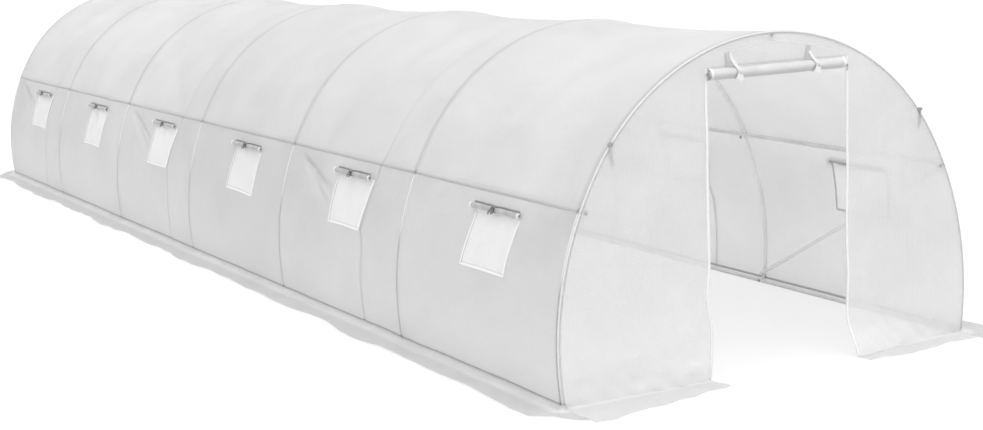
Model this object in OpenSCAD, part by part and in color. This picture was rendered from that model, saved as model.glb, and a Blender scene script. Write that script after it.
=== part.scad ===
// Polytunnel greenhouse: a steel tube frame of arches under a film cover,
// with a rolled-up door at each end and a row of screened windows down each side.
// The origin is at ground level in the middle of the tunnel, +Z is up,
// the length runs along Y and the front door looks towards -Y.

/* [Tunnel] */
// Width over the cover at its widest
tunnel_w = 3000; // [2400:10:3600]
// Height over the cover at the ridge
tunnel_h = 2000; // [1660:10:2400]
// Length over the two end panels
tunnel_l = 12000; // [8000:50:14400]
// Number of arches
arch_count = 7; // [7:1:7]
// Height at which the tunnel is widest
spring_h = 300; // [200:5:360]
// Slope of the joint between side curve and crown curve
shoulder_angle = 32; // [26:1:38]

/* [Frame] */
// Outer diameter of the frame tubes
tube_d = 25; // [20:1:32]
// Length of the sleeve over each shoulder joint of an arch
sleeve_l = 60; // [30:1:90]
// Thickness of that sleeve's wall
sleeve_t = 1.5; // [1:0.25:2.5]
// Distance of the side purlins below the shoulder joints
purlin_drop = 232; // [150:2:280]
// Height of a brace's foot above the ground
brace_foot_h = 60; // [50:1:90]
// Distance of a brace's head below the side purlin
brace_head_drop = 45; // [40:1:80]

/* [Cover] */
// Thickness of the film, drawn thicker than real
film_t = 4; // [3:0.5:5]
// Distance of the upper roof seam below the ridge
upper_seam_drop = 145; // [100:5:250]
// Distance of the shoulder seam below the ridge
shoulder_seam_drop = 500; // [400:5:520]
// Distance of the wall seam below the window sills
wall_seam_drop = 155; // [50:5:200]
// Width of the side ground flaps
skirt_w = 280; // [200:5:350]
// Depth of the end ground flaps
flap_w = 280; // [200:5:350]

/* [Doors] */
// Width of a doorway
door_w = 1040; // [800:5:1200]
// Distance of the doorway's top below the ridge
door_head_drop = 185; // [170:5:500]
// Diameter of the rolled-up door
door_roll_d = 72; // [55:1:90]
// Gap between the rolled-up door and each side of the doorway
door_roll_side_gap = 12; // [5:1:30]
// Width of the zip tapes
zip_w = 22; // [15:1:30]
// Thickness of the zip tapes
zip_t = 3; // [2:0.5:4]

/* [Windows] */
// Width of a window
window_w = 510; // [400:5:620]
// Height of a window from sill to head
window_h = 320; // [250:5:340]
// Distance of the window heads below the side purlins
window_head_drop = 125; // [95:5:180]
// Distance of a window's middle behind the arch before it
window_from_arch = 870; // [700:5:1000]
// How far a screen laps behind the cover
screen_lap = 20; // [10:1:30]
// Thickness of a screen
screen_t = 2; // [1.5:0.5:3]
// Diameter of a rolled-up window flap
window_roll_d = 38; // [30:1:45]
// How far a window roll is longer than its window
window_roll_extra = 60; // [20:5:100]
// Height of a window roll above the window head
window_roll_rise = 32; // [28:1:40]

/* [Ties] */
// Width of the door ties
door_tie_w = 32; // [20:1:45]
// Distance of each door tie from the middle of the door
door_tie_x = 300; // [200:5:380]
// Height of the door ties' sewn end above the doorway
door_tie_rise = 80; // [50:1:85]
// Width of the window ties
window_tie_w = 28; // [15:1:40]
// Thickness of the tie straps
tie_t = 2; // [1.5:0.5:3]

/* [Hidden] */
// Clearance where curved pieces lie against each other
fit_gap = 0.3;
// Clearance between the end of a leg and its sleeve
leg_gap = 0.6;
arch_numbers = [for (number = [1 : arch_count]) number];
ARCH_NODES = [for (number = arch_numbers) str("arch_", number)];
$fn = 180;

door_h = tunnel_h - door_head_drop;

// Curve of the tunnel: a side arc and a crown arc that meet tangentially
half_w = tunnel_w / 2;
rise_h = tunnel_h - spring_h;
centre_gap = (rise_h - half_w) / (cos(shoulder_angle) + sin(shoulder_angle) - 1);
side_r = half_w + centre_gap * cos(shoulder_angle);
crown_r = rise_h - centre_gap * sin(shoulder_angle);
side_x = half_w - side_r;
crown_z = tunnel_h - crown_r;
// Larger than the tunnel in every direction
reach = tunnel_w + tunnel_h;

// Insets of the frame from the cover's outer face
arch_inset = film_t + fit_gap + sleeve_t + tube_d / 2;
purlin_inset = arch_inset + tube_d + fit_gap;

// Arches stand just inside the two end panels
first_arch_y = -tunnel_l / 2 + arch_inset;
arch_pitch = -2 * first_arch_y / (arch_count - 1);
frame_l = -2 * first_arch_y + tube_d;
cover_l = tunnel_l - 2 * film_t;

// Angle at which a leg ends, below the shoulder joint
leg_end_angle = shoulder_angle - asin((sleeve_l / 2 + leg_gap) / (side_r - arch_inset));

// Heights of the shoulder joints, side purlins, windows and wall seams
joint_h = spring_h + side_r * sin(shoulder_angle);
purlin_h = joint_h - purlin_drop;
window_head_h = purlin_h - window_head_drop;
window_sill_h = window_head_h - window_h;
seam_h = window_sill_h - wall_seam_drop;

// Heights at which the roof strips meet
shoulder_seam_h = tunnel_h - shoulder_seam_drop;
upper_seam_h = tunnel_h - upper_seam_drop;

function arch_y(number) = first_arch_y + (number - 1) * arch_pitch;
// Distance from the middle of a curve that lies at this inset and height
function side_place(inset, height) = on_crown(inset, height)
    ? sqrt(pow(crown_r - inset, 2) - pow(height - crown_z, 2))
    : side_x + sqrt(pow(side_r - inset, 2) - pow(height - spring_h, 2));
function on_crown(inset, height) = height > spring_h + (side_r - inset) * sin(shoulder_angle);
function window_y(number) = arch_y(number) + window_from_arch;

// Turns a flat shape drawn in X and Z into a plate along Y, from y_low to y_low + length
module along_y(y_low, length) {
    translate([0, y_low + length, 0]) rotate([90, 0, 0]) linear_extrude(length) children();
}

module side_disc(inset) {
    translate([side_x, spring_h]) circle(side_r - inset);
}

module crown_disc(inset) {
    translate([0, crown_z]) circle(crown_r - inset);
}

// Right half of the plane below and above the line where the two arcs meet
module side_zone() {
    polygon([[0, 0], [reach, 0], [reach, crown_z + reach * tan(shoulder_angle)], [0, crown_z]]);
}

module crown_zone() {
    polygon([[0, crown_z], [reach, crown_z + reach * tan(shoulder_angle)], [reach, 2 * reach],
        [0, 2 * reach]]);
}

// Outline of the tunnel, right half, between two distances from the middle
module end_outline(x_low, x_high, z_low) {
    intersection() {
        translate([x_low, z_low]) square([x_high - x_low, reach]);
        union() {
            intersection() {
                side_disc(0);
                side_zone();
            }
            intersection() {
                crown_disc(0);
                crown_zone();
            }
        }
    }
}

// Curved sheet between two insets and two heights, right half
module side_sheet(outer_inset, inner_inset, z_low, z_high) {
    intersection() {
        translate([0, z_low]) square([reach, z_high - z_low]);
        union() {
            intersection() {
                difference() {
                    side_disc(outer_inset);
                    side_disc(inner_inset);
                }
                side_zone();
            }
            intersection() {
                difference() {
                    crown_disc(outer_inset);
                    crown_disc(inner_inset);
                }
                crown_zone();
            }
        }
    }
}

// Right side of the cover between two heights
module cover_strip(z_low, z_high) {
    along_y(-cover_l / 2, cover_l) side_sheet(0, film_t, z_low, z_high);
}

module in_side(side) {
    if (side < 0) mirror([1, 0, 0]) children();
    else children();
}

module at_end(end) {
    if (end > 0) mirror([0, 1, 0]) children();
    else children();
}

// Middle of a bent leg's curve, right side, with the leg's plane at y = 0
module at_side_centre() {
    translate([side_x, 0, spring_h]) children();
}

// Leg of an arch, right side: from the ground up to the lower end of its sleeve
module arch_leg() {
    intersection() {
        at_side_centre() rotate([90, 0, 0]) rotate([0, 0, -shoulder_angle])
            rotate_extrude(angle = shoulder_angle + leg_end_angle)
            translate([side_r - arch_inset, 0]) circle(d = tube_d, $fn = 32);
        translate([0, -reach, 0]) cube(2 * reach);
    }
}

// Crown tube of an arch, with a sleeve at each end that a leg plugs into
module arch_crown() {
    joint_r = side_r - arch_inset;
    union() {
        for (turn = [0, 180]) rotate(turn) at_side_centre()
            translate([joint_r * cos(shoulder_angle), 0, joint_r * sin(shoulder_angle)])
            rotate([0, -shoulder_angle, 0])
            cylinder(d = tube_d + 2 * sleeve_t, h = sleeve_l, center = true, $fn = 48);
        translate([0, 0, crown_z]) rotate([90, 0, 0]) rotate([0, 0, shoulder_angle])
            rotate_extrude(angle = 180 - 2 * shoulder_angle)
            translate([crown_r - arch_inset, 0]) circle(d = tube_d, $fn = 32);
    }
}

// Two legs and a crown tube, standing upright in the plane y = 0
module arch_tubes() {
    color("gainsboro") {
        arch_crown();
        for (turn = [0, 180]) rotate(turn) arch_leg();
    }
}

module arch(number) {
    translate([0, arch_y(number), 0]) arch_tubes();
}

module straight_tube() {
    color("gainsboro") rotate([90, 0, 0]) cylinder(d = tube_d, h = frame_l, center = true, $fn = 48);
}

module ridge_purlin() {
    translate([0, 0, tunnel_h - purlin_inset]) straight_tube();
}

module side_purlin(side) {
    in_side(side) translate([side_place(purlin_inset, purlin_h), 0, purlin_h]) straight_tube();
}

module ground_rail(side) {
    in_side(side) translate([side_place(purlin_inset, tube_d / 2), 0, tube_d / 2]) straight_tube();
}

// Straight tube from the foot of the second arch to the end arch, under the purlin
module brace(side, end) {
    head_z = purlin_h - brace_head_drop;
    foot = [side_place(purlin_inset, brace_foot_h), arch_y(2), brace_foot_h];
    head = [side_place(purlin_inset, head_z), arch_y(1), head_z];
    run = head - foot;
    color("gainsboro") in_side(side) at_end(end) translate(foot)
        rotate([0, acos(run.z / norm(run)), atan2(run.y, run.x)])
        cylinder(d = tube_d, h = norm(run), $fn = 48);
}

module lower_wall(side) {
    color("whitesmoke") in_side(side) cover_strip(film_t, seam_h);
}

// Wall strip with a window cut through in each bay
module window_wall(side) {
    color("whitesmoke") difference() {
        in_side(side) cover_strip(seam_h, purlin_h);
        for (number = [1 : arch_count - 1]) {
            in_side(side) translate([0, window_y(number) - window_w / 2, window_sill_h])
                cube([reach, window_w, window_head_h - window_sill_h]);
        }
    }
}

// Strip from the side purlin over the shoulder joint
module shoulder_strip(side) {
    color("whitesmoke") in_side(side) cover_strip(purlin_h, shoulder_seam_h);
}

module lower_roof(side) {
    color("whitesmoke") in_side(side) cover_strip(shoulder_seam_h, upper_seam_h);
}

module upper_roof(side) {
    color("whitesmoke") in_side(side) cover_strip(upper_seam_h, reach);
}

// Ground flap that lies flat beside the wall
module side_skirt(side) {
    color("gainsboro") in_side(side) translate([side_place(film_t, film_t), -cover_l / 2, 0])
        cube([skirt_w, cover_l, film_t]);
}

module end_flaps(end) {
    flap_l = side_place(0, film_t) - door_w / 2;
    color("gainsboro") at_end(end) for (side = [-1, 1]) in_side(side) {
        translate([door_w / 2, -tunnel_l / 2 - flap_w, 0]) cube([flap_l, flap_w + film_t, film_t]);
    }
}

// End wall beside the doorway
module side_panel(side, end) {
    color("white") in_side(side) at_end(end) along_y(-tunnel_l / 2, film_t)
        end_outline(door_w / 2, half_w, film_t);
}

// End wall above the doorway
module door_head(end) {
    color("white") at_end(end) for (side = [-1, 1]) in_side(side) {
        along_y(-tunnel_l / 2, film_t) end_outline(0, door_w / 2, door_h);
    }
}

door_roll_y = -tunnel_l / 2 + film_t / 2;
door_roll_z = door_h - fit_gap - door_roll_d / 2;
door_roll_l = door_w - 2 * door_roll_side_gap;

module door_roll(end) {
    color("white") at_end(end) translate([0, door_roll_y, door_roll_z])
        rotate([0, 90, 0]) cylinder(d = door_roll_d, h = door_roll_l, center = true, $fn = 64);
}

// Zip tape on the outer face of the end wall, beside the doorway
module door_zips() {
    color("white") for (end = [-1, 1]) at_end(end) for (side = [-1, 1]) in_side(side) {
        translate([door_w / 2, -tunnel_l / 2 - zip_t, film_t]) cube([zip_w, zip_t, door_h - film_t]);
    }
}

// Drop-shaped loop that hangs from the door head and carries the roll
module door_tie_outline(grow, top_grow) {
    top_z = door_h + door_tie_rise + top_grow;
    hull() {
        translate([0, door_roll_z]) circle(d = door_roll_d + 2 * grow, $fn = 32);
        translate([-film_t / 2 - grow, top_z - 1]) square([film_t + 2 * grow, 1]);
    }
}

module door_ties() {
    color("silver") for (end = [-1, 1]) at_end(end) for (side = [-1, 1]) {
        translate([side * door_tie_x - door_tie_w / 2, door_roll_y, 0])
            rotate([90, 0, 90]) linear_extrude(door_tie_w) difference() {
                door_tie_outline(fit_gap + tie_t, 0);
                door_tie_outline(fit_gap, 1);
            }
    }
}

// Screens lie behind the cover and lap past the window's edges
module window_screens(side) {
    inner_inset = film_t + fit_gap + screen_t;
    screen_l = window_w + 2 * screen_lap;
    screen_low = window_sill_h - screen_lap;
    screen_h = window_head_h + screen_lap - screen_low;
    color("white") for (number = [1 : arch_count - 1]) {
        in_side(side) along_y(window_y(number) - window_w / 2 - screen_lap, screen_l)
            side_sheet(film_t + fit_gap, inner_inset, screen_low, screen_low + screen_h);
    }
}

// Middle of a window roll, held off the cover by the thickness of its tie
roll_offset = window_roll_d / 2 + tie_t + 2 * fit_gap;
roll_z = window_head_h + window_roll_rise;
roll_x = side_place(-roll_offset, roll_z);

module window_rolls(side) {
    roll_l = window_w + window_roll_extra;
    color("lightgray") for (number = [1 : arch_count - 1]) in_side(side) {
        translate([roll_x, window_y(number), roll_z])
            rotate([90, 0, 0]) cylinder(d = window_roll_d, h = roll_l, center = true, $fn = 48);
    }
}

module window_ties() {
    inner_d = window_roll_d + 2 * fit_gap;
    color("gray") for (side = [-1, 1]) in_side(side) for (number = [1 : arch_count - 1]) {
        translate([roll_x, window_y(number), roll_z]) rotate([90, 0, 0]) difference() {
            cylinder(d = inner_d + 2 * tie_t, h = window_tie_w, center = true, $fn = 48);
            cylinder(d = inner_d, h = window_tie_w + 1, center = true, $fn = 48);
        }
    }
}

for (number = arch_numbers) {
    arch(number);
}
ridge_purlin();
side_purlin(-1);  // left_purlin
side_purlin(1);  // right_purlin
ground_rail(-1);  // left_ground_rail
ground_rail(1);  // right_ground_rail
brace(-1, -1);  // front_left_brace
brace(1, -1);  // front_right_brace
brace(-1, 1);  // rear_left_brace
brace(1, 1);  // rear_right_brace
lower_wall(-1);  // left_lower_wall
window_wall(-1);  // left_window_wall
shoulder_strip(-1);  // left_shoulder
lower_roof(-1);  // left_lower_roof
upper_roof(-1);  // left_upper_roof
lower_wall(1);  // right_lower_wall
window_wall(1);  // right_window_wall
shoulder_strip(1);  // right_shoulder
lower_roof(1);  // right_lower_roof
upper_roof(1);  // right_upper_roof
side_skirt(-1);  // left_skirt
side_skirt(1);  // right_skirt
end_flaps(-1);  // front_flaps
end_flaps(1);  // rear_flaps
side_panel(-1, -1);  // front_left_panel
side_panel(1, -1);  // front_right_panel
door_head(-1);  // front_door_head
side_panel(-1, 1);  // rear_left_panel
side_panel(1, 1);  // rear_right_panel
door_head(1);  // rear_door_head
door_roll(-1);  // front_door_roll
door_roll(1);  // rear_door_roll
door_zips();
door_ties();
window_screens(-1);  // left_window_screens
window_screens(1);  // right_window_screens
window_rolls(-1);  // left_window_rolls
window_rolls(1);  // right_window_rolls
window_ties();
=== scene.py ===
import math

import bpy
import numpy as np
from mathutils import Matrix, Vector


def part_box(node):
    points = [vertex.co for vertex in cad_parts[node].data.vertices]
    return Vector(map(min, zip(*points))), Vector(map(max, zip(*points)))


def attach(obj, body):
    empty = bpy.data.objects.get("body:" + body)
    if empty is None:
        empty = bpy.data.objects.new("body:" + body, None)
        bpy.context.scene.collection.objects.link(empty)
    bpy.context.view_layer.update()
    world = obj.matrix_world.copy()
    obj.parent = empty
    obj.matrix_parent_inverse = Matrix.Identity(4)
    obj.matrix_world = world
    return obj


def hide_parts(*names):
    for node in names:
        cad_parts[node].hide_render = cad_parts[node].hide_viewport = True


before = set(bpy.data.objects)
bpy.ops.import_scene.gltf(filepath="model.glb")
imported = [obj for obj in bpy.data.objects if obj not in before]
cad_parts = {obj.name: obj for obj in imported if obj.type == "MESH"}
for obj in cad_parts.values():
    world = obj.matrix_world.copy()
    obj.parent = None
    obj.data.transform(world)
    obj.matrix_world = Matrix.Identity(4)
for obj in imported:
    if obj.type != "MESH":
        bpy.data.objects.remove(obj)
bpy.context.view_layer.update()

scene = bpy.context.scene
print("frame loaded,", len(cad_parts), "nodes")

# the tunnel's curve: s runs along the film from the ridge, minus to the left and plus to the right
tunnel = {
    "springHeight": 0.300,
    "shoulderAngle": math.radians(32),
    "filmInset": 0.003,  # the real film's outer face lies this far inside the CAD cover
    "filmThickness": 0.001,
    "tapeThickness": 0.0011,
    "bays": 6,
}
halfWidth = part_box("right_lower_wall")[1].x
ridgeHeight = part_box("right_upper_roof")[1].z
shoulder = tunnel["shoulderAngle"]
springHeight = tunnel["springHeight"]
riseHeight = ridgeHeight - springHeight
centreGap = (riseHeight - halfWidth) / (math.cos(shoulder) + math.sin(shoulder) - 1)
sideRadius = halfWidth + centreGap * math.cos(shoulder)
crownRadius = riseHeight - centreGap * math.sin(shoulder)
sideX = halfWidth - sideRadius
crownZ = ridgeHeight - crownRadius
crownS = crownRadius * (math.pi / 2 - shoulder)
groundS = crownS + sideRadius * (shoulder + math.asin(springHeight / sideRadius))


def boxMiddle(nodeName):
    low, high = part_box(nodeName)
    return (low + high) / 2


archNames = [f"arch_{number}" for number in range(1, tunnel["bays"] + 2)]
archY = np.array([boxMiddle(name).y for name in archNames])
bayLength = archY[1] - archY[0]
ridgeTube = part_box("ridge_purlin")
tubeRadius = (ridgeTube[1].z - ridgeTube[0].z) / 2
archTubeInset = archY[0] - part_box("front_left_panel")[0].y
purlinHeight = boxMiddle("left_purlin").z
rollMiddle = boxMiddle("front_door_roll")
bothSides = (("left", -1), ("right", 1))
bothEnds = (("front", -1), ("rear", 1))


def sAtHeight(height):
    if height > crownZ + crownRadius * math.sin(shoulder):
        return crownRadius * (math.pi / 2 - math.asin((height - crownZ) / crownRadius))
    return crownS + sideRadius * (shoulder - math.asin((height - springHeight) / sideRadius))


purlinS = sAtHeight(purlinHeight)


def hoopPoint(s, inset):
    # place across the tunnel of points that lie this far inside the curve
    away = np.abs(s)
    onCrown = away <= crownS
    angle = np.where(onCrown, math.pi / 2 - away / crownRadius, shoulder - (away - crownS) / sideRadius)
    radius = np.where(onCrown, crownRadius, sideRadius) - inset
    x = np.where(onCrown, 0.0, sideX) + radius * np.cos(angle)
    z = np.where(onCrown, crownZ, springHeight) + radius * np.sin(angle)
    return np.sign(s) * x, z


def outlineX(z, inset):
    # half width of the tunnel at a height, as far inside the curve as the inset says
    onCrown = z > springHeight + (sideRadius - inset) * math.sin(shoulder)
    crownX = np.sqrt(np.maximum((crownRadius - inset) ** 2 - (z - crownZ) ** 2, 0))
    wallX = sideX + np.sqrt((sideRadius - inset) ** 2 - (z - springHeight) ** 2)
    return np.where(onCrown, crownX, wallX)


def stacked(*axes):
    # points or directions from the arrays or numbers of their axes
    return np.stack(np.broadcast_arrays(*axes), -1)


def smoothStep(x, low, high):
    t = np.clip((x - low) / (high - low), 0, 1)
    return t * t * (3 - 2 * t)


def softNoise(u, v, size, seed, waves=9):
    # a smooth random field of about plus or minus one, made of a few crossing waves
    rng = np.random.default_rng(seed)
    total = np.zeros(np.broadcast(u, v).shape)
    for _ in range(waves):
        heading = rng.uniform(0, 2 * math.pi)
        length = size * rng.uniform(0.6, 1.8)
        phase = rng.uniform(0, 2 * math.pi)
        total += np.sin(2 * math.pi * (u * math.cos(heading) + v * math.sin(heading)) / length + phase)
    return total / math.sqrt(waves)


def spread(keys, spacing):
    # the key places, with evenly spaced ones between them no further apart than the spacing
    keys = sorted(set(round(float(key), 6) for key in keys))
    places = [keys[0]]
    for low, high in zip(keys, keys[1:]):
        steps = max(1, math.ceil((high - low) / spacing - 0.01))
        places += [low + (high - low) * step / steps for step in range(1, steps + 1)]
    return np.array(places)


# ---- mesh and Geometry Nodes helpers

def newObject(name, data):
    made = bpy.data.objects.new(name, data)
    scene.collection.objects.link(made)
    return made


def sheetObject(name, points, uv, outward, keep=None):
    # a sheet from a grid of points; outward tells which way the first cell's face has to look
    rows, columns = points.shape[:2]
    index = np.arange(rows * columns).reshape(rows, columns)
    quads = np.stack([index[:-1, :-1], index[1:, :-1], index[1:, 1:], index[:-1, 1:]], axis=-1)
    quads = quads[keep] if keep is not None else quads.reshape(-1, 4)
    used, renumbered = np.unique(quads, return_inverse=True)
    quads = renumbered.reshape(-1, 4)
    flatPoints = points.reshape(-1, 3)[used]
    corners = flatPoints[quads]
    normals = np.cross(corners[:, 1] - corners[:, 0], corners[:, 3] - corners[:, 0])
    first = np.argmax(np.linalg.norm(normals, axis=1) > 1e-8)  # a cell in a pointed corner has no area
    if np.dot(normals[first], outward) < 0:
        quads = quads[:, ::-1]
    mesh = bpy.data.meshes.new(name)
    mesh.from_pydata(flatPoints.tolist(), [], quads.tolist())
    mesh.update()
    layer = mesh.uv_layers.new(name="Cut")
    loops = np.empty(len(mesh.loops), dtype=np.int32)
    mesh.loops.foreach_get("vertex_index", loops)
    layer.data.foreach_set("uv", uv.reshape(-1, 2)[used][loops].astype(np.float32).ravel())
    mesh.shade_smooth()
    return newObject(name, mesh)


def meshObject(name, vertices, faces, smooth=True):
    mesh = bpy.data.meshes.new(name)
    mesh.from_pydata([tuple(v) for v in vertices], [], [tuple(f) for f in faces])
    mesh.update()
    if smooth:
        mesh.shade_smooth()
    return newObject(name, mesh)


def boxShape(name, halfX, halfY, height):
    # a small plain block that stands on its own foot, for shapes that are set out by the hundred
    corners = [(x, y, z) for x in (-halfX, halfX) for y in (-halfY, halfY) for z in (0, height)]
    faces = [(0, 1, 3, 2), (4, 6, 7, 5), (0, 4, 5, 1), (2, 3, 7, 6), (0, 2, 6, 4), (1, 5, 7, 3)]
    return meshObject(name, corners, faces, False)


def thicken(piece, thickness):
    # gives a sheet its real thickness, on the inside
    solid = piece.modifiers.new("Thickness", "SOLIDIFY")
    solid.thickness = thickness
    solid.offset = -1


def freeze(piece):
    # replaces a piece's mesh by what its modifiers make of it
    shape = bpy.data.meshes.new_from_object(piece.evaluated_get(bpy.context.evaluated_depsgraph_get()))
    piece.modifiers.clear()
    old = piece.data
    piece.data = shape
    if isinstance(old, bpy.types.Mesh):
        bpy.data.meshes.remove(old)


def newGeoTree(name, inputs):
    tree = bpy.data.node_groups.new(name, "GeometryNodeTree")
    tree.interface.new_socket("Geometry", in_out="INPUT", socket_type="NodeSocketGeometry")
    for label, (kind, value) in inputs.items():
        socket = tree.interface.new_socket(label, in_out="INPUT", socket_type="NodeSocket" + kind)
        if value is not None:
            socket.default_value = value
    tree.interface.new_socket("Geometry", in_out="OUTPUT", socket_type="NodeSocketGeometry")
    return tree, tree.nodes.new("NodeGroupInput").outputs, tree.nodes.new("NodeGroupOutput").inputs


def addNode(tree, kind, inputs=None, **settings):
    made = tree.nodes.new(kind)
    for key, value in settings.items():
        setattr(made, key, value)
    for key, value in (inputs or {}).items():
        if isinstance(value, bpy.types.NodeSocket):
            tree.links.new(value, made.inputs[key])
        else:
            made.inputs[key].default_value = value
    return made


def useGeoTree(piece, tree, values):
    modifier = piece.modifiers.new(tree.name, "NODES")
    modifier.node_group = tree
    for item in tree.interface.items_tree:
        if item.item_type == "SOCKET" and item.in_out == "INPUT" and item.name in values:
            modifier[item.identifier] = values[item.name]
    freeze(piece)


def finishPiece(piece, material=None, replaces=()):
    if material is not None:
        piece.data.materials.clear()
        piece.data.materials.append(material)
    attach(piece, "root")
    if replaces:
        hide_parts(*replaces)


# ---- where the windows are

windows = {
    "screenLap": 0.020,  # how far a CAD screen laps behind the cover
    "width": 0.510,
    "edgeWobble": 0.009,  # how far a window's corners are out of square
    "edgeBow": 0.008,
    "lean": 0.034,  # their tops stand this far nearer the front than their middles
}
screenLow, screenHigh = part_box("left_window_screens")
windowSill = screenLow.z + windows["screenLap"]
windowHead = screenHigh.z - windows["screenLap"]
windowOffset = screenLow.y + windows["screenLap"] + windows["width"] / 2 - archY[0]
windowY = archY[:-1] + windowOffset
sillS = sAtHeight(windowSill)
headS = sAtHeight(windowHead)
windowMidS = (sillS + headS) / 2
windowHalfS = (sillS - headS) / 2

# ---- the cover: a film that hangs between the arches and rests on the purlins

cover = {
    "roofCell": 0.042,
    "wallCell": 0.024,
    "wrapSteps": 6,
    "bayShape": 2.3,  # 2 is an even sag between two arches, more is flatter in the middle
    "purlinSag": 0.0262,  # the film touches the purlins between the arches
    "roofSag": 0.022,
    "wallSag": 0.010,
    "footSag": 0.004,
    "ripple": 0.0030,
    "creasedBays": (1, 3, 5),
    "creaseDepth": 0.015,
    "creaseWidth": 0.016,
    "seamLap": 0.012,
    "seed": 11,
}
wrapRadius = archTubeInset - tunnel["filmInset"]
wrapLength = wrapRadius * math.pi / 2
coverRandom = np.random.default_rng(cover["seed"])
bayGain = coverRandom.uniform(0.75, 1.3, size=(2, tunnel["bays"]))
cornerShift = coverRandom.uniform(-1, 1, size=(2, tunnel["bays"], 4, 2)) * windows["edgeWobble"]
edgeBow = coverRandom.uniform(-1, 1, size=(2, tunnel["bays"], 4)) * windows["edgeBow"]
creaseStart = windowOffset - windows["width"] / 2 - 0.030


def creasePath(away):
    # how far a crease wanders along the tunnel from its column, from the ridge down to the ground
    spots = [0, 0.5 * purlinS, purlinS, headS, sillS, sillS + 0.12, groundS]
    shifts = [-0.130, -0.085, -0.050, -0.026, 0.016, 0.004, 0.000]
    return np.interp(away, spots, shifts)


# loose folds at random: how far they keep from the arches, where they start, how far down they may reach,
# and the ranges of their heading, length, width and depth
foldKinds = (
    {"clear": 0.12, "start": (0.10, purlinS - 0.12), "lowest": purlinS - 0.05, "heading": (0.9, 2.2),
     "length": (0.30, 0.75), "width": (0.05, 0.09), "depth": 0.006, "count": 4},
    {"clear": 0.10, "start": (purlinS + 0.05, sillS), "lowest": groundS - 0.06, "heading": (0.5, 2.6),
     "length": (0.20, 0.55), "width": (0.025, 0.05), "depth": 0.004, "count": 4},
)


def randomFold(kind, start, side):
    draw = coverRandom.uniform
    y = start + draw(kind["clear"], bayLength - kind["clear"])
    s = draw(*kind["start"])
    heading = draw(*kind["heading"])
    length = draw(*kind["length"])
    reach = min(s + length * math.sin(heading), kind["lowest"])
    width = draw(*kind["width"])
    depth = draw(-kind["depth"], kind["depth"])
    return y, side * s, y + length * math.cos(heading), side * reach, width, depth


def makeFolds():
    # each fold's start and end along the tunnel and down the film, its width and its depth
    folds = []
    for _, side in bothSides:
        for start, middle, bay in zip(archY, windowY, range(tunnel["bays"])):
            if bay in cover["creasedBays"]:  # two that run from the purlin to the window, and one below it
                last = start + bayLength
                for y, s, endY, endS, width, depth in (
                        (last - 0.05, purlinS + 0.02, middle + 0.27, windowMidS - 0.02, 0.018, 0.046),
                        (last - 0.16, purlinS + 0.03, middle + 0.30, windowMidS + 0.10, 0.028, 0.030),
                        (middle - 0.20, sillS + 0.02, middle - 0.34, groundS - 0.25, 0.040, 0.005)):
                    folds.append((y, side * s, endY, side * endS, width, depth))
            for kind in foldKinds:
                folds += [randomFold(kind, start, side) for _ in range(kind["count"])]
    return folds


coverFolds = makeFolds()


def foldDepth(y, s):
    total = np.zeros(y.shape)
    for startY, startS, endY, endS, width, depth in coverFolds:
        runY, runS = endY - startY, endS - startS
        length = math.hypot(runY, runS)
        along = ((y - startY) * runY + (s - startS) * runS) / length**2
        off = ((y - startY) * runS - (s - startS) * runY) / length
        inside = (along > 0) & (along < 1)
        taper = np.sin(math.pi * np.clip(along, 0, 1)) ** 0.7
        total += np.where(inside, depth * taper * np.exp(-np.abs(off) / width), 0)
    return total


def coverSag(y, s):
    # how far the film hangs inside the arches
    place = np.clip((y - archY[0]) / bayLength, 0, tunnel["bays"] - 1e-9)
    bay = place.astype(int)
    t = place - bay
    away = np.abs(s)
    gain = bayGain[(s > 0).astype(int), bay]
    hump = 1 - np.abs(2 * t - 1) ** cover["bayShape"]
    up = np.clip(away / purlinS, 0, 1)
    down = np.clip((away - purlinS) / (groundS - purlinS), 0, 1)
    roofDepth = cover["purlinSag"] + cover["roofSag"] * gain * np.sin(math.pi * up)
    wallDepth = cover["purlinSag"] * np.exp(-down / 0.09)
    wallDepth += cover["wallSag"] * gain * np.sin(math.pi * down) + cover["footSag"] * down
    sag = np.where(away < purlinS, roofDepth, wallDepth) * hump
    toArch = np.minimum(t, 1 - t) * bayLength
    toPurlin = np.minimum(away, np.abs(away - purlinS))
    loose = (1 - np.exp(-(toArch / 0.14) ** 2)) * smoothStep(toPurlin, 0.0, 0.16)
    ripple = softNoise(y, s, 0.9, 21) + 0.5 * softNoise(y, s, 0.35, 22)
    sag += loose * (cover["ripple"] * ripple + foldDepth(y, s))
    return np.maximum(sag, -0.002)


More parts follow.
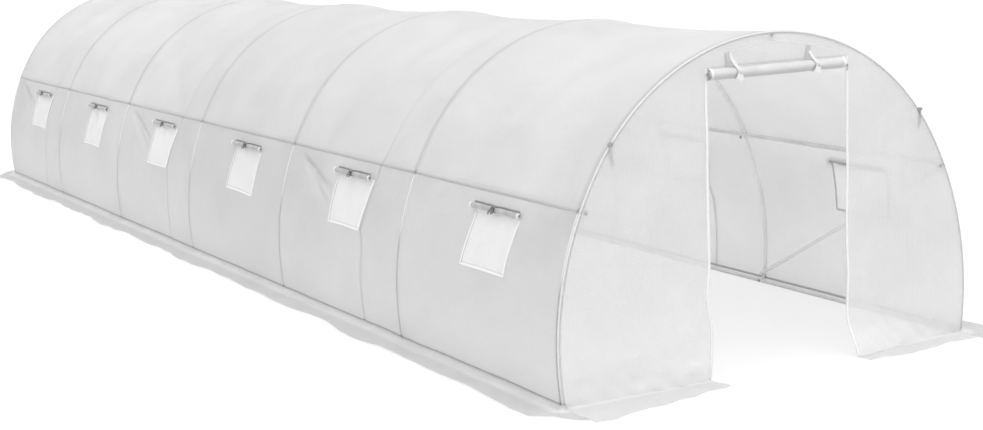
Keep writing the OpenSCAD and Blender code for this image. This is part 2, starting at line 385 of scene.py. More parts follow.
def coverWarp(y, s):
    # windows out of square, and creases that wander
    away = np.abs(s)
    sideRow = (s > 0).astype(int)
    shiftY = np.zeros(y.shape)
    shiftS = np.zeros(y.shape)
    for bay in range(tunnel["bays"]):
        a = (y - windowY[bay]) / (windows["width"] / 2)
        b = (away - windowMidS) / windowHalfS
        outA = np.maximum(np.abs(a) - 1, 0) * windows["width"] / 2
        outB = np.maximum(np.abs(b) - 1, 0) * windowHalfS
        near = np.exp(-(outA / 0.11) ** 2 - (outB / 0.07) ** 2)
        a, b = np.clip(a, -1, 1), np.clip(b, -1, 1)
        corners = cornerShift[sideRow, bay]
        weights = np.stack([(1 + i * a) * (1 + j * b) for j in (-1, 1) for i in (-1, 1)], -1) / 4
        shift = (corners * weights[..., None]).sum(-2)
        shift[..., 0] += windows["lean"] * b
        bows = edgeBow[sideRow, bay]
        shift[..., 0] += (1 - b**2) * (bows[..., 0] * (1 - a) + bows[..., 1] * (1 + a)) / 2
        shift[..., 1] += (1 - a**2) * (bows[..., 2] * (1 - b) + bows[..., 3] * (1 + b)) / 2
        shiftY += near * shift[..., 0]
        shiftS += near * shift[..., 1] * np.sign(s)
        if bay in cover["creasedBays"]:
            reach = np.exp(-((y - archY[bay] - creaseStart) / 0.13) ** 2)
            shiftY += reach * creasePath(away)
    return y + shiftY, s + shiftS


def creaseDepth(y, s):
    away = np.abs(s)
    strength = np.interp(away, [0.2, purlinS - 0.3, purlinS + 0.05, groundS], [0.0, 0.45, 1.0, 0.8])
    total = np.zeros(y.shape)
    for bay in cover["creasedBays"]:
        off = np.abs(y - archY[bay] - creaseStart)
        total += strength * cover["creaseDepth"] * np.exp(-off / cover["creaseWidth"])
    return total * smoothStep(np.abs(away - purlinS), 0, 0.05)


def coverPoint(q, s, lift=0.0):
    # q runs along the tunnel and round the end arches; lift is a height off the film's outer face
    overFront = np.maximum(archY[0] - q, 0) / wrapRadius
    overRear = np.maximum(q - archY[-1], 0) / wrapRadius
    alongY = np.clip(q, archY[0], archY[-1])
    inside = (overFront + overRear) == 0
    y, bent = coverWarp(alongY, s)
    y = np.where(inside, y, alongY)
    bent = np.where(inside, bent, s)
    sag = np.where(inside, coverSag(y, bent) + creaseDepth(alongY, s), 0)
    y = y + (wrapRadius + lift) * (np.sin(overRear) - np.sin(overFront))
    inset = archTubeInset - (wrapRadius + lift) * np.cos(overFront + overRear) + sag
    x, z = hoopPoint(bent, inset)
    return stacked(x, y, z)


def lengthPlaces(cell):
    # columns of the cover along the tunnel: close together over arches, creases and window edges
    wrap = wrapLength * np.arange(1, cover["wrapSteps"] + 1) / cover["wrapSteps"]
    keys = list(archY[0] - wrap) + list(archY[-1] + wrap)
    for y in archY:
        beside = [y + sign * off for off in (0, 0.006, 0.012, 0.020, 0.034) for sign in (-1, 1)]
        keys += [place for place in beside if archY[0] <= place <= archY[-1]]
    for bay, y in enumerate(windowY):
        half = windows["width"] / 2
        keys += [y - half, y - half + 0.008, y + half - 0.008, y + half, y + half + 0.010]
        if bay in cover["creasedBays"]:
            keys += [archY[bay] + creaseStart + off for off in (-0.045, -0.022, -0.009, 0, 0.009, 0.020)]
        else:
            keys.append(y - half - 0.010)
    return spread(keys, cell)


def makeRoof():
    columns = lengthPlaces(cover["roofCell"])
    edge = purlinS + cover["seamLap"]
    near = [0, 0.010, 0.025]
    offRidge = near + [purlinS - off for off in near] + [edge]
    rows = spread([sign * off for off in offRidge for sign in (-1, 1)], cover["roofCell"])
    q, s = np.meshgrid(columns, rows)
    lift = 0.0014 * smoothStep(np.abs(s), purlinS - 0.010, edge)
    piece = sheetObject("roof_film", coverPoint(q, s, lift), stacked(q, s), (0, 0, 1))
    thicken(piece, tunnel["filmThickness"])
    parts = ("_shoulder", "_lower_roof", "_upper_roof")
    finishPiece(piece, filmMaterial, [name + part for name, _ in bothSides for part in parts])


def makeWall(sideName, side):
    columns = lengthPlaces(cover["wallCell"])
    foot = sAtHeight(0.022)
    rows = spread([purlinS, purlinS + 0.010, purlinS + 0.025, headS - 0.010, headS, headS + 0.008,
                   sillS - 0.008, sillS, sillS + 0.010, foot - 0.020, foot - 0.008, foot], cover["wallCell"])
    q, s = np.meshgrid(columns, side * rows)
    middleQ = (q[:-1, :-1] + q[1:, 1:]) / 2
    middleS = np.abs(s[:-1, :-1] + s[1:, 1:]) / 2
    keep = np.ones(middleQ.shape, dtype=bool)
    for y in windowY:
        keep &= ~((np.abs(middleQ - y) < windows["width"] / 2) & (np.abs(middleS - windowMidS) < windowHalfS))
    cut = stacked(q, s)
    piece = sheetObject(sideName + "_wall_film", coverPoint(q, s), cut, (side, 0, 0.3), keep)
    thicken(piece, tunnel["filmThickness"])
    finishPiece(piece, wallFilmMaterial, [sideName + "_lower_wall", sideName + "_window_wall"])


# ---- the ground flaps along both sides

skirt = {
    "width": 0.205,
    "cell": 0.024,
    "start": 0.030,  # height on the wall at which the flap's seam lies
    "clear": 0.0045,
    "wave": 0.006,
    "edgeWander": 0.022,
    "fanSteps": 12,
}


def makeSkirt(sideName, side):
    wrap = wrapLength * np.arange(1, skirt["fanSteps"] + 1) / skirt["fanSteps"]
    q = np.concatenate([(archY[0] - wrap)[::-1], spread(archY, skirt["cell"]), archY[-1] + wrap])
    over = np.clip((archY[0] - q) / wrapRadius, 0, None) + np.clip((q - archY[-1]) / wrapRadius, 0, None)
    toRear = np.where(q > 0, 1, -1)
    startS = sAtHeight(skirt["start"])
    top = coverPoint(q, np.full(q.shape, side * startS), 0.0016)
    outX, outY = side * np.cos(over), toRear * np.sin(over)
    turned = smoothStep(over, 0, math.pi / 2)
    width = skirt["width"] + skirt["edgeWander"] * softNoise(q, 0, 1.3, 31 + side)
    width += 0.004 * softNoise(q, 0, 0.45, 33 + side) + 0.05 * turned - 0.09 * np.sin(2 * over)
    fillet = [(0.0, skirt["start"]), (0.0015, 0.021), (0.0045, 0.013), (0.010, 0.008)]
    reach = spread([0.020, 1.0], skirt["cell"] / skirt["width"])
    points, cut = [], []
    for out, height in fillet:
        points.append(stacked(top[:, 0] + outX * out, top[:, 1] + outY * out, height))
        cut.append(stacked(q, skirt["start"] - height + out))
    for share in reach:
        out = 0.010 + (width - 0.010) * share
        fold = softNoise(q, out, 0.55, 41 + side) + 0.6 * softNoise(q * 2.2, out, 0.30, 43 + side)
        streak = np.exp(-((out - 0.045 - 0.012 * softNoise(q, 0, 1.1, 45 + side)) / 0.012) ** 2)
        rim = smoothStep(share, 0.75, 1.0) * np.maximum(softNoise(q, 0, 0.40, 47 + side), 0)
        wave = skirt["wave"] * (0.55 + 0.45 * fold) * smoothStep(share, 0.0, 0.3)
        height = skirt["clear"] + np.maximum(wave, 0)
        height = height + 0.005 * streak + 0.007 * rim
        points.append(stacked(top[:, 0] + outX * out, top[:, 1] + outY * out, height))
        cut.append(stacked(q, skirt["start"] + out))
    piece = sheetObject(sideName + "_skirt_film", np.array(points), np.array(cut), (0, 0, 1))
    thicken(piece, tunnel["filmThickness"])
    finishPiece(piece, groundFilmMaterial, [sideName + "_skirt"])


# ---- the end walls: one sheet each, from the arch down and out on to the ground

ends = {
    "cell": 0.021,
    "bend": 0.36,  # height below which the film flares out, with its rows as shares of it
    "bendRows": (0.94, 0.87, 0.80, 0.73, 0.66, 0.59, 0.52, 0.46, 0.40, 0.34, 0.28, 0.22, 0.17, 0.12),
    "jambShift": {-1: -0.062, 1: 0.024},  # the panels' free edges hang a little to the right
    "jambFlare": {-1: 0.0, 1: 0.095},
    "jambWave": {-1: 0.015, 1: 0.005},
    "flapReach": {-1: (0.165, 0.255, 0.320), 1: (0.205, 0.200, 0.150)},
    "headRows": 9,
    "weld": 0.0002,
    "slack": 0.007,
    "flapCut": 0.30,  # what the uncut sheet has below the ground line
}
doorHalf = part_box("front_door_head")[1].x
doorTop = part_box("front_door_head")[0].z
endFaceY = archY[0] - wrapRadius


def endDepth(x, z):
    # how far the end wall's film lies behind the plane of the arch
    fromArch = outlineX(np.clip(z, 0.02, ridgeHeight - archTubeInset), archTubeInset) - np.abs(x)
    toTop = ridgeHeight - archTubeInset - z
    free = smoothStep(np.minimum(fromArch, toTop), 0.06, 0.30)
    waves = 0.6 + 0.4 * softNoise(x, z * 0.5, 0.50, 51) + 0.25 * softNoise(x * 1.6, z * 0.4, 0.20, 52)
    return ends["slack"] * free * waves


def endPanel(side):
    height = doorTop
    bend = ends["bend"]
    levels = list(spread([height, bend], ends["cell"])[::-1])
    levels += [bend * share for share in ends["bendRows"]] + [0.032, 0.022, 0.014, 0.009]
    flapShares = spread([0.0, 1.0], 0.075)[1:]
    shares = spread([0, 0.012, 0.03, 0.96, 0.985, 1], ends["cell"] / (halfWidth - doorHalf))
    edge = np.interp(shares, (0, 0.5, 1), ends["flapReach"][side])
    edge = edge + 0.016 * softNoise(shares, 0, 0.35, 61 + side)
    flare = ends["jambFlare"][side] * (1 - shares) ** 1.6
    points, cut = [], []
    for z in levels:
        k = np.clip(1 - z / bend, 0, 1)
        out = outlineX(np.array(z), archTubeInset)
        loose = smoothStep(-z, -0.75, -0.50)
        wander = ends["jambWave"][side] * loose * math.sin((z - 0.13) * 12.1)
        jamb = doorHalf + ends["jambShift"][side] - wander
        x = jamb + (out - jamb) * shares
        wave = 0.012 * k * (1 - shares) * np.sin(7 * z / bend + 5 * shares)
        crumple = softNoise(x, z, 0.16, 57 + side) + 0.6 * softNoise(x, z, 0.08, 58 + side)
        low = smoothStep(-z, -0.42, -0.06) * smoothStep(shares, 0.02, 0.06)
        low = low * smoothStep(1 - shares, 0.02, 0.10)
        y = endFaceY + endDepth(side * x, z) * (1 - k) - flare * k**2.4 - wave
        y = y - 0.0045 * low * (crumple + 1)
        points.append(stacked(side * x, y, z))
        cut.append(stacked(side * x, height - z))
    last = points[-1]
    for share in flapShares:
        forward = flare + (edge - flare) * share
        crumple = softNoise(side * last[:, 0], forward, 0.22, 63 + side)
        z = 0.0062 + 0.0050 * np.maximum(crumple + 0.3, 0) * smoothStep(share, 0, 0.5)
        x = last[:, 0] + side * 0.05 * share * (1 - shares) * (0.3 if side > 0 else -0.4)
        y = endFaceY - forward
        points.append(stacked(x, y, z))
        cut.append(stacked(last[:, 0], height + forward))
    return np.array(points), np.array(cut), shares


def endHead(shares):
    topX = float(outlineX(np.array(doorTop), archTubeInset))
    leftJamb, rightJamb = (doorHalf + ends["jambShift"][side] for side in (-1, 1))
    leftOuter = leftJamb + (topX - leftJamb) * shares
    rightOuter = rightJamb + (topX - rightJamb) * shares
    x = np.concatenate([-leftOuter[::-1], spread([-leftJamb, rightJamb], ends["cell"])[1:-1], rightOuter])
    topZ = crownZ + np.sqrt((crownRadius - archTubeInset) ** 2 - x**2)
    rows = []
    for share in np.linspace(0, 1, ends["headRows"]):
        z = doorTop + (topZ - doorTop) * share
        rows.append(stacked(x, endFaceY + endDepth(x, z), z))
    points = np.array(rows)
    return points, stacked(points[..., 0], doorTop - points[..., 2])


def makeEnd(endName, end):
    left, leftCut, shares = endPanel(-1)
    right, rightCut, shares = endPanel(1)
    head, headCut = endHead(shares)
    pieces = []
    for points, cut in ((left, leftCut), (right, rightCut), (head, headCut)):
        points = points.copy()
        points[..., 1] *= -end
        pieces.append(sheetObject("part", points, cut, (0, end, 0.01)))
    piece = joined(endName + "_end_film", pieces)
    weld = piece.modifiers.new("Join", "WELD")
    weld.merge_threshold = ends["weld"]
    freeze(piece)
    thicken(piece, tunnel["filmThickness"])
    finishPiece(piece, endFilmMaterial,
                [endName + part for part in ("_left_panel", "_right_panel", "_door_head", "_flaps")])


# ---- shader groups: each effect is built once and placed in the materials with its own values

def newShaderGroup(name, inputs, outputs):
    group = bpy.data.node_groups.new(name, "ShaderNodeTree")
    group.interface.new_socket("Vector", in_out="INPUT", socket_type="NodeSocketVector")
    for label, value in inputs.items():
        socket = group.interface.new_socket(label, in_out="INPUT", socket_type="NodeSocketFloat")
        socket.default_value = value
    for label in outputs:
        group.interface.new_socket(label, in_out="OUTPUT", socket_type="NodeSocketFloat")
    return group, group.nodes.new("NodeGroupInput").outputs, group.nodes.new("NodeGroupOutput").inputs


def mathNode(tree, operation, *values, clamp=False):
    made = addNode(tree, "ShaderNodeMath", dict(enumerate(values)), operation=operation, use_clamp=clamp)
    return made.outputs[0]


def times(tree, first, *others):
    for other in others:
        first = mathNode(tree, "MULTIPLY", first, other)
    return first


def axisOf(tree, vector, axis):
    return addNode(tree, "ShaderNodeSeparateXYZ", {0: vector}).outputs[axis]


def rangeNode(tree, value, fromLow, fromHigh, toLow=0.0, toHigh=1.0, smooth=True):
    limits = {"Value": value, "From Min": fromLow, "From Max": fromHigh, "To Min": toLow, "To Max": toHigh}
    kind = "SMOOTHSTEP" if smooth else "LINEAR"
    return addNode(tree, "ShaderNodeMapRange", limits, interpolation_type=kind).outputs["Result"]


def fade(tree, value, full, gone):
    # one up to the first value, falling to nothing at the second
    return rangeNode(tree, value, full, gone, 1.0, 0.0)


def noiseNode(tree, vector, scale, detail, roughness=0.5, distortion=0.0):
    inputs = {"Vector": vector, "Scale": scale, "Detail": detail}
    inputs.update({"Roughness": roughness, "Distortion": distortion})
    return addNode(tree, "ShaderNodeTexNoise", inputs).outputs[0]


def mixColour(tree, factor, a, b):
    return addNode(tree, "ShaderNodeMix", {0: factor, 6: a, 7: b}, data_type="RGBA").outputs[2]


def grey(value):
    return (value, value, value, 1.0)


def tint(tree, colour, mask, tone):
    # lays a grey over the colour where the mask shows
    return mixColour(tree, mask, colour, grey(tone))


def buildWeave():
    # the woven reinforcing threads in the film, as crossing lines
    group, enter, leave = newShaderGroup(
        "reinforcingThreads", {"Pitch": 0.010, "Thread": 0.16}, ("Mask", "Height"))
    lines = []
    for axis in (0, 1):
        cell = mathNode(group, "DIVIDE", axisOf(group, enter["Vector"], axis), enter["Pitch"])
        line = mathNode(group, "DIVIDE", mathNode(group, "PINGPONG", cell, 0.5), enter["Thread"])
        lines.append(mathNode(group, "SUBTRACT", 1.0, line, clamp=True))
    group.links.new(mathNode(group, "MAXIMUM", *lines), leave["Mask"])
    group.links.new(mathNode(group, "ADD", *lines), leave["Height"])
    return group


def buildCrumple():
    # soft dents, sharper creases and the faint squares left from being folded up
    group, enter, leave = newShaderGroup("filmCrumple", {"Size": 0.5, "Fold Pitch": 0.42}, ("Tone", "Height"))
    scale = mathNode(group, "DIVIDE", 1.0, enter["Size"])
    dents = noiseNode(group, enter["Vector"], scale, 5.0, 0.55, 0.4)
    creases = noiseNode(group, enter["Vector"], times(group, scale, 4.0), 3.0, 0.5, 1.5)
    sharp = fade(group, mathNode(group, "ABSOLUTE", mathNode(group, "SUBTRACT", creases, 0.5)), 0.0, 0.07)
    folds = []
    for axis in (0, 1):
        cell = mathNode(group, "DIVIDE", axisOf(group, enter["Vector"], axis), enter["Fold Pitch"])
        wander = mathNode(group, "MULTIPLY_ADD", dents, 0.05, cell)
        folds.append(fade(group, mathNode(group, "PINGPONG", wander, 0.5), 0.0, 0.012))
    height = mathNode(group, "MULTIPLY_ADD", sharp, 0.12, dents)
    height = mathNode(group, "MULTIPLY_ADD", mathNode(group, "MAXIMUM", *folds), 0.06, height)
    group.links.new(height, leave["Height"])
    group.links.new(dents, leave["Tone"])
    return group


def buildPressLines():
    # masks for painted shade and highlight lines where the film is pressed on the arches, the purlins and the
    # ground rails: a line and its soft edge
    group, enter, leave = newShaderGroup(
        "pressLines",
        {"First Arch": 0.0, "Bay": 2.0, "Purlin": 1.7, "Ground": 2.8, "Half Width": 0.010,
         "First Crease": 0.0},
        ("Arch", "Purlin", "Foot", "Down", "Crease", "Joint", "Arch Off"))
    along = axisOf(group, enter["Vector"], 0)
    away = mathNode(group, "ABSOLUTE", axisOf(group, enter["Vector"], 1))

    def gap(a, b):
        return mathNode(group, "SUBTRACT", a, b)

    def offNearest(first, pitch):
        cell = mathNode(group, "DIVIDE", gap(along, first), pitch)
        return times(group, mathNode(group, "PINGPONG", cell, 0.5), pitch)

    def line(distance):
        return fade(group, mathNode(group, "DIVIDE", distance, enter["Half Width"]), 0.35, 1.25)

    archOff = offNearest(enter["First Arch"], enter["Bay"])
    purlinOff = mathNode(group, "ABSOLUTE", gap(away, enter["Purlin"]))
    footOff = mathNode(group, "ABSOLUTE", gap(away, enter["Ground"]))
    down = mathNode(group, "DIVIDE", gap(away, enter["Purlin"]), gap(enter["Ground"], enter["Purlin"]))
    creaseOff = offNearest(enter["First Crease"], times(group, enter["Bay"], 2.0))
    beside = fade(group, mathNode(group, "ABSOLUTE", gap(creaseOff, 0.011)), 0.001, 0.005)
    double = mathNode(group, "MAXIMUM", fade(group, creaseOff, 0.0015, 0.006), times(group, beside, 0.5))
    crossing = mathNode(group, "MINIMUM", mathNode(group, "MINIMUM", purlinOff, footOff), away)
    square = mathNode(group, "ADD", times(group, archOff, archOff), times(group, crossing, crossing))
    masks = {
        "Arch": line(archOff),
        "Purlin": mathNode(group, "MAXIMUM", line(purlinOff), times(group, line(away), 0.4)),
        "Foot": line(footOff),
        "Down": down,
        "Crease": times(group, double, rangeNode(group, along, -4.0, -3.9)),  # the first bay has none
        "Joint": fade(group, mathNode(group, "SQRT", square), 0.008, 0.026),
        "Arch Off": archOff,
    }
    for label, mask in masks.items():
        group.links.new(mask, leave[label])
    return group


def buildDust():
    # rain splash and dust low down on the tubes, and painted light that lifts the wall and end films towards
    # white low down, in soft patches
    group, enter, leave = newShaderGroup("groundDust", {"Height": 0.25}, ("Mask",))
    patches = noiseNode(group, enter["Vector"], 6.0, 4.0)
    lifted = mathNode(group, "MULTIPLY_ADD", patches, -0.18, axisOf(group, enter["Vector"], 2))
    share = mathNode(group, "DIVIDE", mathNode(group, "ADD", lifted, 0.09), enter["Height"])
    group.links.new(fade(group, share, 0.0, 1.0), leave["Mask"])
    return group


def buildMetalWear():
    # fine streaks along a tube, duller patches and small scuffs
    group, enter, leave = newShaderGroup("tubeWear", {"Scale": 40.0}, ("Patches", "Scuffs", "Height"))
    grain = noiseNode(group, enter["Vector"], enter["Scale"], 5.0, 0.65)
    group.links.new(noiseNode(group, enter["Vector"], 7.0, 4.0), leave["Patches"])
    group.links.new(rangeNode(group, grain, 0.60, 0.72), leave["Scuffs"])
    group.links.new(grain, leave["Height"])
    return group


weaveGroup = buildWeave()
crumpleGroup = buildCrumple()
pressGroup = buildPressLines()
dustGroup = buildDust()
wearGroup = buildMetalWear()


# ---- materials

def useGroup(tree, group, values):
    return addNode(tree, "ShaderNodeGroup", values, node_tree=group).outputs


def newMaterial(name):
    material = bpy.data.materials.new(name)
    material.use_nodes = True
    tree = material.node_tree
    tree.nodes.clear()
    return material, tree, tree.nodes.new("ShaderNodeOutputMaterial").inputs[0]


def objectPlace(tree):
    return tree.nodes.new("ShaderNodeTexCoord").outputs["Object"]


def clothPlace(tree):
    return addNode(tree, "ShaderNodeUVMap", uv_map="Cut").outputs["UV"]


def bumpNode(tree, height, strength, distance):
    inputs = {"Height": height, "Strength": strength, "Distance": distance}
    return addNode(tree, "ShaderNodeBump", inputs).outputs[0]


def shellShader(tree, colour, normal, roughness, others):
    inputs = {"Base Color": colour, "Normal": normal, "Roughness": roughness, **others}
    return addNode(tree, "ShaderNodeBsdfPrincipled", inputs).outputs[0]


def mixShaders(tree, out, share, first, second):
    both = addNode(tree, "ShaderNodeMixShader", {0: share, 1: first, 2: second})
    tree.links.new(both.outputs[0], out)


filmLook = {
    "threadPitch": 0.0105,
    "threadShare": 0.11,
    "threadWhite": 0.35,
    "threadDense": 0.16,
    "threadHeight": 0.05,
    "dentSize": 0.55,
    "foldPitch": 0.47,
    "dark": 0.83,
    "light": 0.89,
    "dustTone": 0.70,
    "dust": 0.10,
    "dustHeight": 0.30,
    "alpha": 0.58,
    "through": 0.36,  # share of the light that comes through scattered
    "roughness": 0.42,
    "bump": 0.55,
    "bumpDepth": 0.012,
    "press": True,  # whether the film shows painted shade and highlight lines where it lies on the frame
    "pressHalf": 0.0095,
    "archWhite": 1.0,
    "archGrey": 0.38,
    "archShade": 0.17,
    "purlinGrey": 0.26,
    "footGrey": 0.5,
    "creaseGrey": 0.45,
    "jointGrey": 0.5,
    "edgeAt": 0.0,  # length of a rolled sheet whose ends are bound in white
    "flapFade": 0.0,  # how much of its density the part on the ground keeps
    "soil": 0.0,
    "under": 0.0,  # how far the underside of a rolled door is greyed with painted shade
}


def pressFilm(tree, cut, tone, colour, alpha, look):
    # painted light where the film lies on the frame: a painted highlight over the arches high up on the
    # walls, painted shade lines elsewhere
    lines = useGroup(tree, pressGroup, {
        "Vector": cut, "First Arch": float(archY[0]), "Bay": float(bayLength), "Purlin": purlinS,
        "Ground": groundS - skirt["start"], "Half Width": look["pressHalf"],
        "First Crease": float(archY[1] + creaseStart)})
    down = lines["Down"]
    broken = rangeNode(tree, tone, 0.30, 0.58, 0.35, 1.0)
    bright = times(tree, lines["Arch"], rangeNode(tree, down, -0.02, 0.02), fade(tree, down, 0.30, 0.42))
    low = times(tree, lines["Arch"], rangeNode(tree, down, 0.34, 0.46))
    wide = times(tree, fade(tree, lines["Arch Off"], 0.002, 0.055), fade(tree, down, -0.03, 0.0))
    crease = times(tree, lines["Crease"], rangeNode(tree, down, -0.25, 0.05, 0.25, 1.0), broken)
    # painted shade lines over the arches low on the walls, the purlins, the ground rails, the arches on the
    # roof, the creases and the crossings, and a painted highlight over the arches high on the walls; the
    # highlight also makes the film more opaque
    for mask, share, shade in (
            (low, look["archGrey"], 0.42),
            (bright, look["archWhite"], 1.0),
            (times(tree, lines["Purlin"], broken), look["purlinGrey"], 0.30),
            (lines["Foot"], look["footGrey"], 0.30),
            (wide, look["archShade"], 0.35),
            (crease, look["creaseGrey"], 0.30),
            (lines["Joint"], look["jointGrey"], 0.28)):
        colour = tint(tree, colour, times(tree, mask, share), shade)
    return colour, mathNode(tree, "ADD", alpha, times(tree, bright, 0.4), clamp=True)


def makeFilm(name, **changes):
    # thin film: part of the light is scattered back, part comes through and a little passes straight
    look = {**filmLook, **changes}
    material, tree, out = newMaterial(name)
    cut = clothPlace(tree)
    place = objectPlace(tree)
    weave = useGroup(tree, weaveGroup, {
        "Vector": cut, "Pitch": look["threadPitch"], "Thread": look["threadShare"]})
    crumple = useGroup(tree, crumpleGroup, {
        "Vector": cut, "Size": look["dentSize"], "Fold Pitch": look["foldPitch"]})
    dust = useGroup(tree, dustGroup, {"Vector": place, "Height": look["dustHeight"]})
    tone = rangeNode(tree, crumple["Tone"], 0.3, 0.7, smooth=False)
    colour = mixColour(tree, tone, grey(look["dark"]), grey(look["light"]))
    colour = tint(tree, colour, times(tree, weave["Mask"], look["threadWhite"]), 0.96)
    # towards the ground the tone is tinted: on the wall and end films this is painted light, a lift towards
    # white
    colour = tint(tree, colour, times(tree, dust["Mask"], look["dust"]), look["dustTone"])
    alpha = mathNode(tree, "MULTIPLY_ADD", weave["Mask"], look["threadDense"], look["alpha"], clamp=True)
    if look["press"]:
        colour, alpha = pressFilm(tree, cut, crumple["Tone"], colour, alpha, look)
    if look["edgeAt"]:
        fromEnd = mathNode(tree, "PINGPONG", axisOf(tree, cut, 0), look["edgeAt"] / 2)
        colour = tint(tree, colour, fade(tree, fromEnd, 0.016, 0.018), 0.96)
    # painted shade: a darker band under a rolled door, its lowest edge left lighter
    if look["under"]:
        up = axisOf(tree, place, 2)
        low = fade(tree, up, rollMiddle.z - 0.022, rollMiddle.z + 0.012)
        lowest = rangeNode(tree, up, rollMiddle.z - 0.034, rollMiddle.z - 0.026)
        colour = tint(tree, colour, times(tree, low, lowest, look["under"]), 0.36)
    # painted shade: the outer band of a ground flap darker than the part by the wall
    if look["soil"]:
        outward = mathNode(tree, "MULTIPLY_ADD", crumple["Tone"], 0.05, axisOf(tree, cut, 1))
        colour = tint(tree, colour, times(tree, rangeNode(tree, outward, 0.105, 0.150), look["soil"]), 0.52)
    if look["flapFade"]:
        down = axisOf(tree, cut, 1)
        onGround = rangeNode(tree, down, doorTop - 0.01, doorTop + 0.08, 1.0, look["flapFade"])
        alpha = times(tree, alpha, onGround)
        colour = tint(tree, colour, rangeNode(tree, down, doorTop, doorTop + 0.05, 0.0, 0.24), 0.50)
    height = mathNode(tree, "MULTIPLY_ADD", weave["Height"], look["threadHeight"], crumple["Height"])
    normal = bumpNode(tree, height, look["bump"], look["bumpDepth"])
    roughness = rangeNode(tree, crumple["Tone"], 0.3, 0.7, look["roughness"] - 0.06, look["roughness"] + 0.08)
    shell = shellShader(tree, colour, normal, roughness, {"Alpha": alpha, "IOR": 1.45})
    through = addNode(tree, "ShaderNodeBsdfTranslucent", {"Color": colour, "Normal": normal}).outputs[0]
    mixShaders(tree, out, look["through"], shell, through)
    return material


filmMaterial = makeFilm("roofFilm")
# the wall and end films are lifted towards white low down: painted light
wallFilmMaterial = makeFilm("wallFilm", dark=0.81, light=0.87, dust=0.55, dustTone=0.98, dustHeight=0.9,
                            through=0.48)
endFilmMaterial = makeFilm("endFilm", press=False, dentSize=0.40, foldPitch=0.43, alpha=0.40, through=0.20,
                           flapFade=0.8, dark=0.82, light=0.88, dust=0.6, dustTone=0.98, dustHeight=0.8)
groundFilmMaterial = makeFilm("groundFilm", press=False, dentSize=0.22, foldPitch=0.9, alpha=0.50, soil=0.32,
                              dark=0.86, light=0.95, dust=0.0, bump=0.7)

netLook = {
    "pitch": 0.0024,
    "thread": 0.30,
    "dark": 0.96,
    "light": 1.0,
    "holeAlpha": 0.40,
    "threadAlpha": 0.70,
    "through": 0.22,
}


def makeNetMaterial(name, look):
    # a fine white net: threads with clear holes between them
    material, tree, out = newMaterial(name)
    cut = clothPlace(tree)
    weave = useGroup(tree, weaveGroup, {"Vector": cut, "Pitch": look["pitch"], "Thread": look["thread"]})
    crumple = useGroup(tree, crumpleGroup, {"Vector": cut, "Size": 0.15, "Fold Pitch": 0.3})
    tone = rangeNode(tree, crumple["Tone"], 0.3, 0.7, smooth=False)
    colour = mixColour(tree, tone, grey(look["dark"]), grey(look["light"]))
    alpha = rangeNode(tree, weave["Mask"], 0.0, 0.5, look["holeAlpha"], look["threadAlpha"])
    roughness = rangeNode(tree, weave["Mask"], 0.0, 1.0, 0.85, 0.6)
    normal = bumpNode(tree, weave["Height"], 0.3, 0.001)
    shell = shellShader(tree, colour, normal, roughness, {"Alpha": alpha})
    through = addNode(tree, "ShaderNodeBsdfTranslucent", {"Color": colour}).outputs[0]
    mixShaders(tree, out, look["through"], shell, through)
    return material


screenMaterial = makeNetMaterial("screenMesh", netLook)

tubeLooks = {
    "archTube": {"grain": 60.0, "dark": 0.90, "light": 0.97, "worn": 0.70, "metallic": 0.0, "rough": 0.32},
    "purlinTube": {"grain": 45.0, "dark": 0.74, "light": 0.86, "worn": 0.50, "metallic": 0.0, "rough": 0.38},
    "zincBolt": {"grain": 120.0, "dark": 0.34, "light": 0.46, "worn": 0.18, "metallic": 0.5, "rough": 0.34},
}


def makeTube(name, look):
    # metal or powder coat, with duller patches, scuffs and brown dust near the ground
    material, tree, out = newMaterial(name)
    place = objectPlace(tree)
    wear = useGroup(tree, wearGroup, {"Vector": place, "Scale": look["grain"]})
    dust = useGroup(tree, dustGroup, {"Vector": place, "Height": 0.12})
    patches = rangeNode(tree, wear["Patches"], 0.3, 0.7, smooth=False)
    colour = mixColour(tree, patches, grey(look["dark"]), grey(look["light"]))
    colour = tint(tree, colour, times(tree, wear["Scuffs"], 0.5), look["worn"])
    colour = mixColour(tree, times(tree, dust["Mask"], 0.3), colour, (0.45, 0.42, 0.38, 1))
    roughness = rangeNode(tree, wear["Patches"], 0.3, 0.7, look["rough"], look["rough"] + 0.16)
    normal = bumpNode(tree, wear["Height"], 0.2, 0.0006)
    tree.links.new(shellShader(tree, colour, normal, roughness, {"Metallic": look["metallic"]}), out)
    return material


archMaterial, purlinMaterial, boltMaterial = (makeTube(name, look) for name, look in tubeLooks.items())

# rib spacing, scale of the fluff, and the darkest, lightest and raised tones of each tape and thread
tapeLooks = {
    "hemTape": (0.0030, 40.0, 0.64, 0.80, 0.90),
    "zipTape": (0.0022, 80.0, 0.72, 0.84, 0.92),
    "doorTieStrap": (0.0026, 200.0, 0.68, 0.80, 0.88),
    # a grey copy of the door tie tape, painted shade for its shaded side behind each door roll; the shoulder
    # ties use it as a grey tape
    "backStrap": (0.0026, 200.0, 0.42, 0.54, 0.62),
    "windowTieStrap": (0.0024, 220.0, 0.12, 0.20, 0.28),
    "seamThread": (0.0030, 160.0, 0.62, 0.74, 0.80),
    "windowHem": (0.0030, 120.0, 0.84, 0.94, 0.98),
    "stitchThread": (0.0030, 160.0, 0.34, 0.46, 0.52),
}


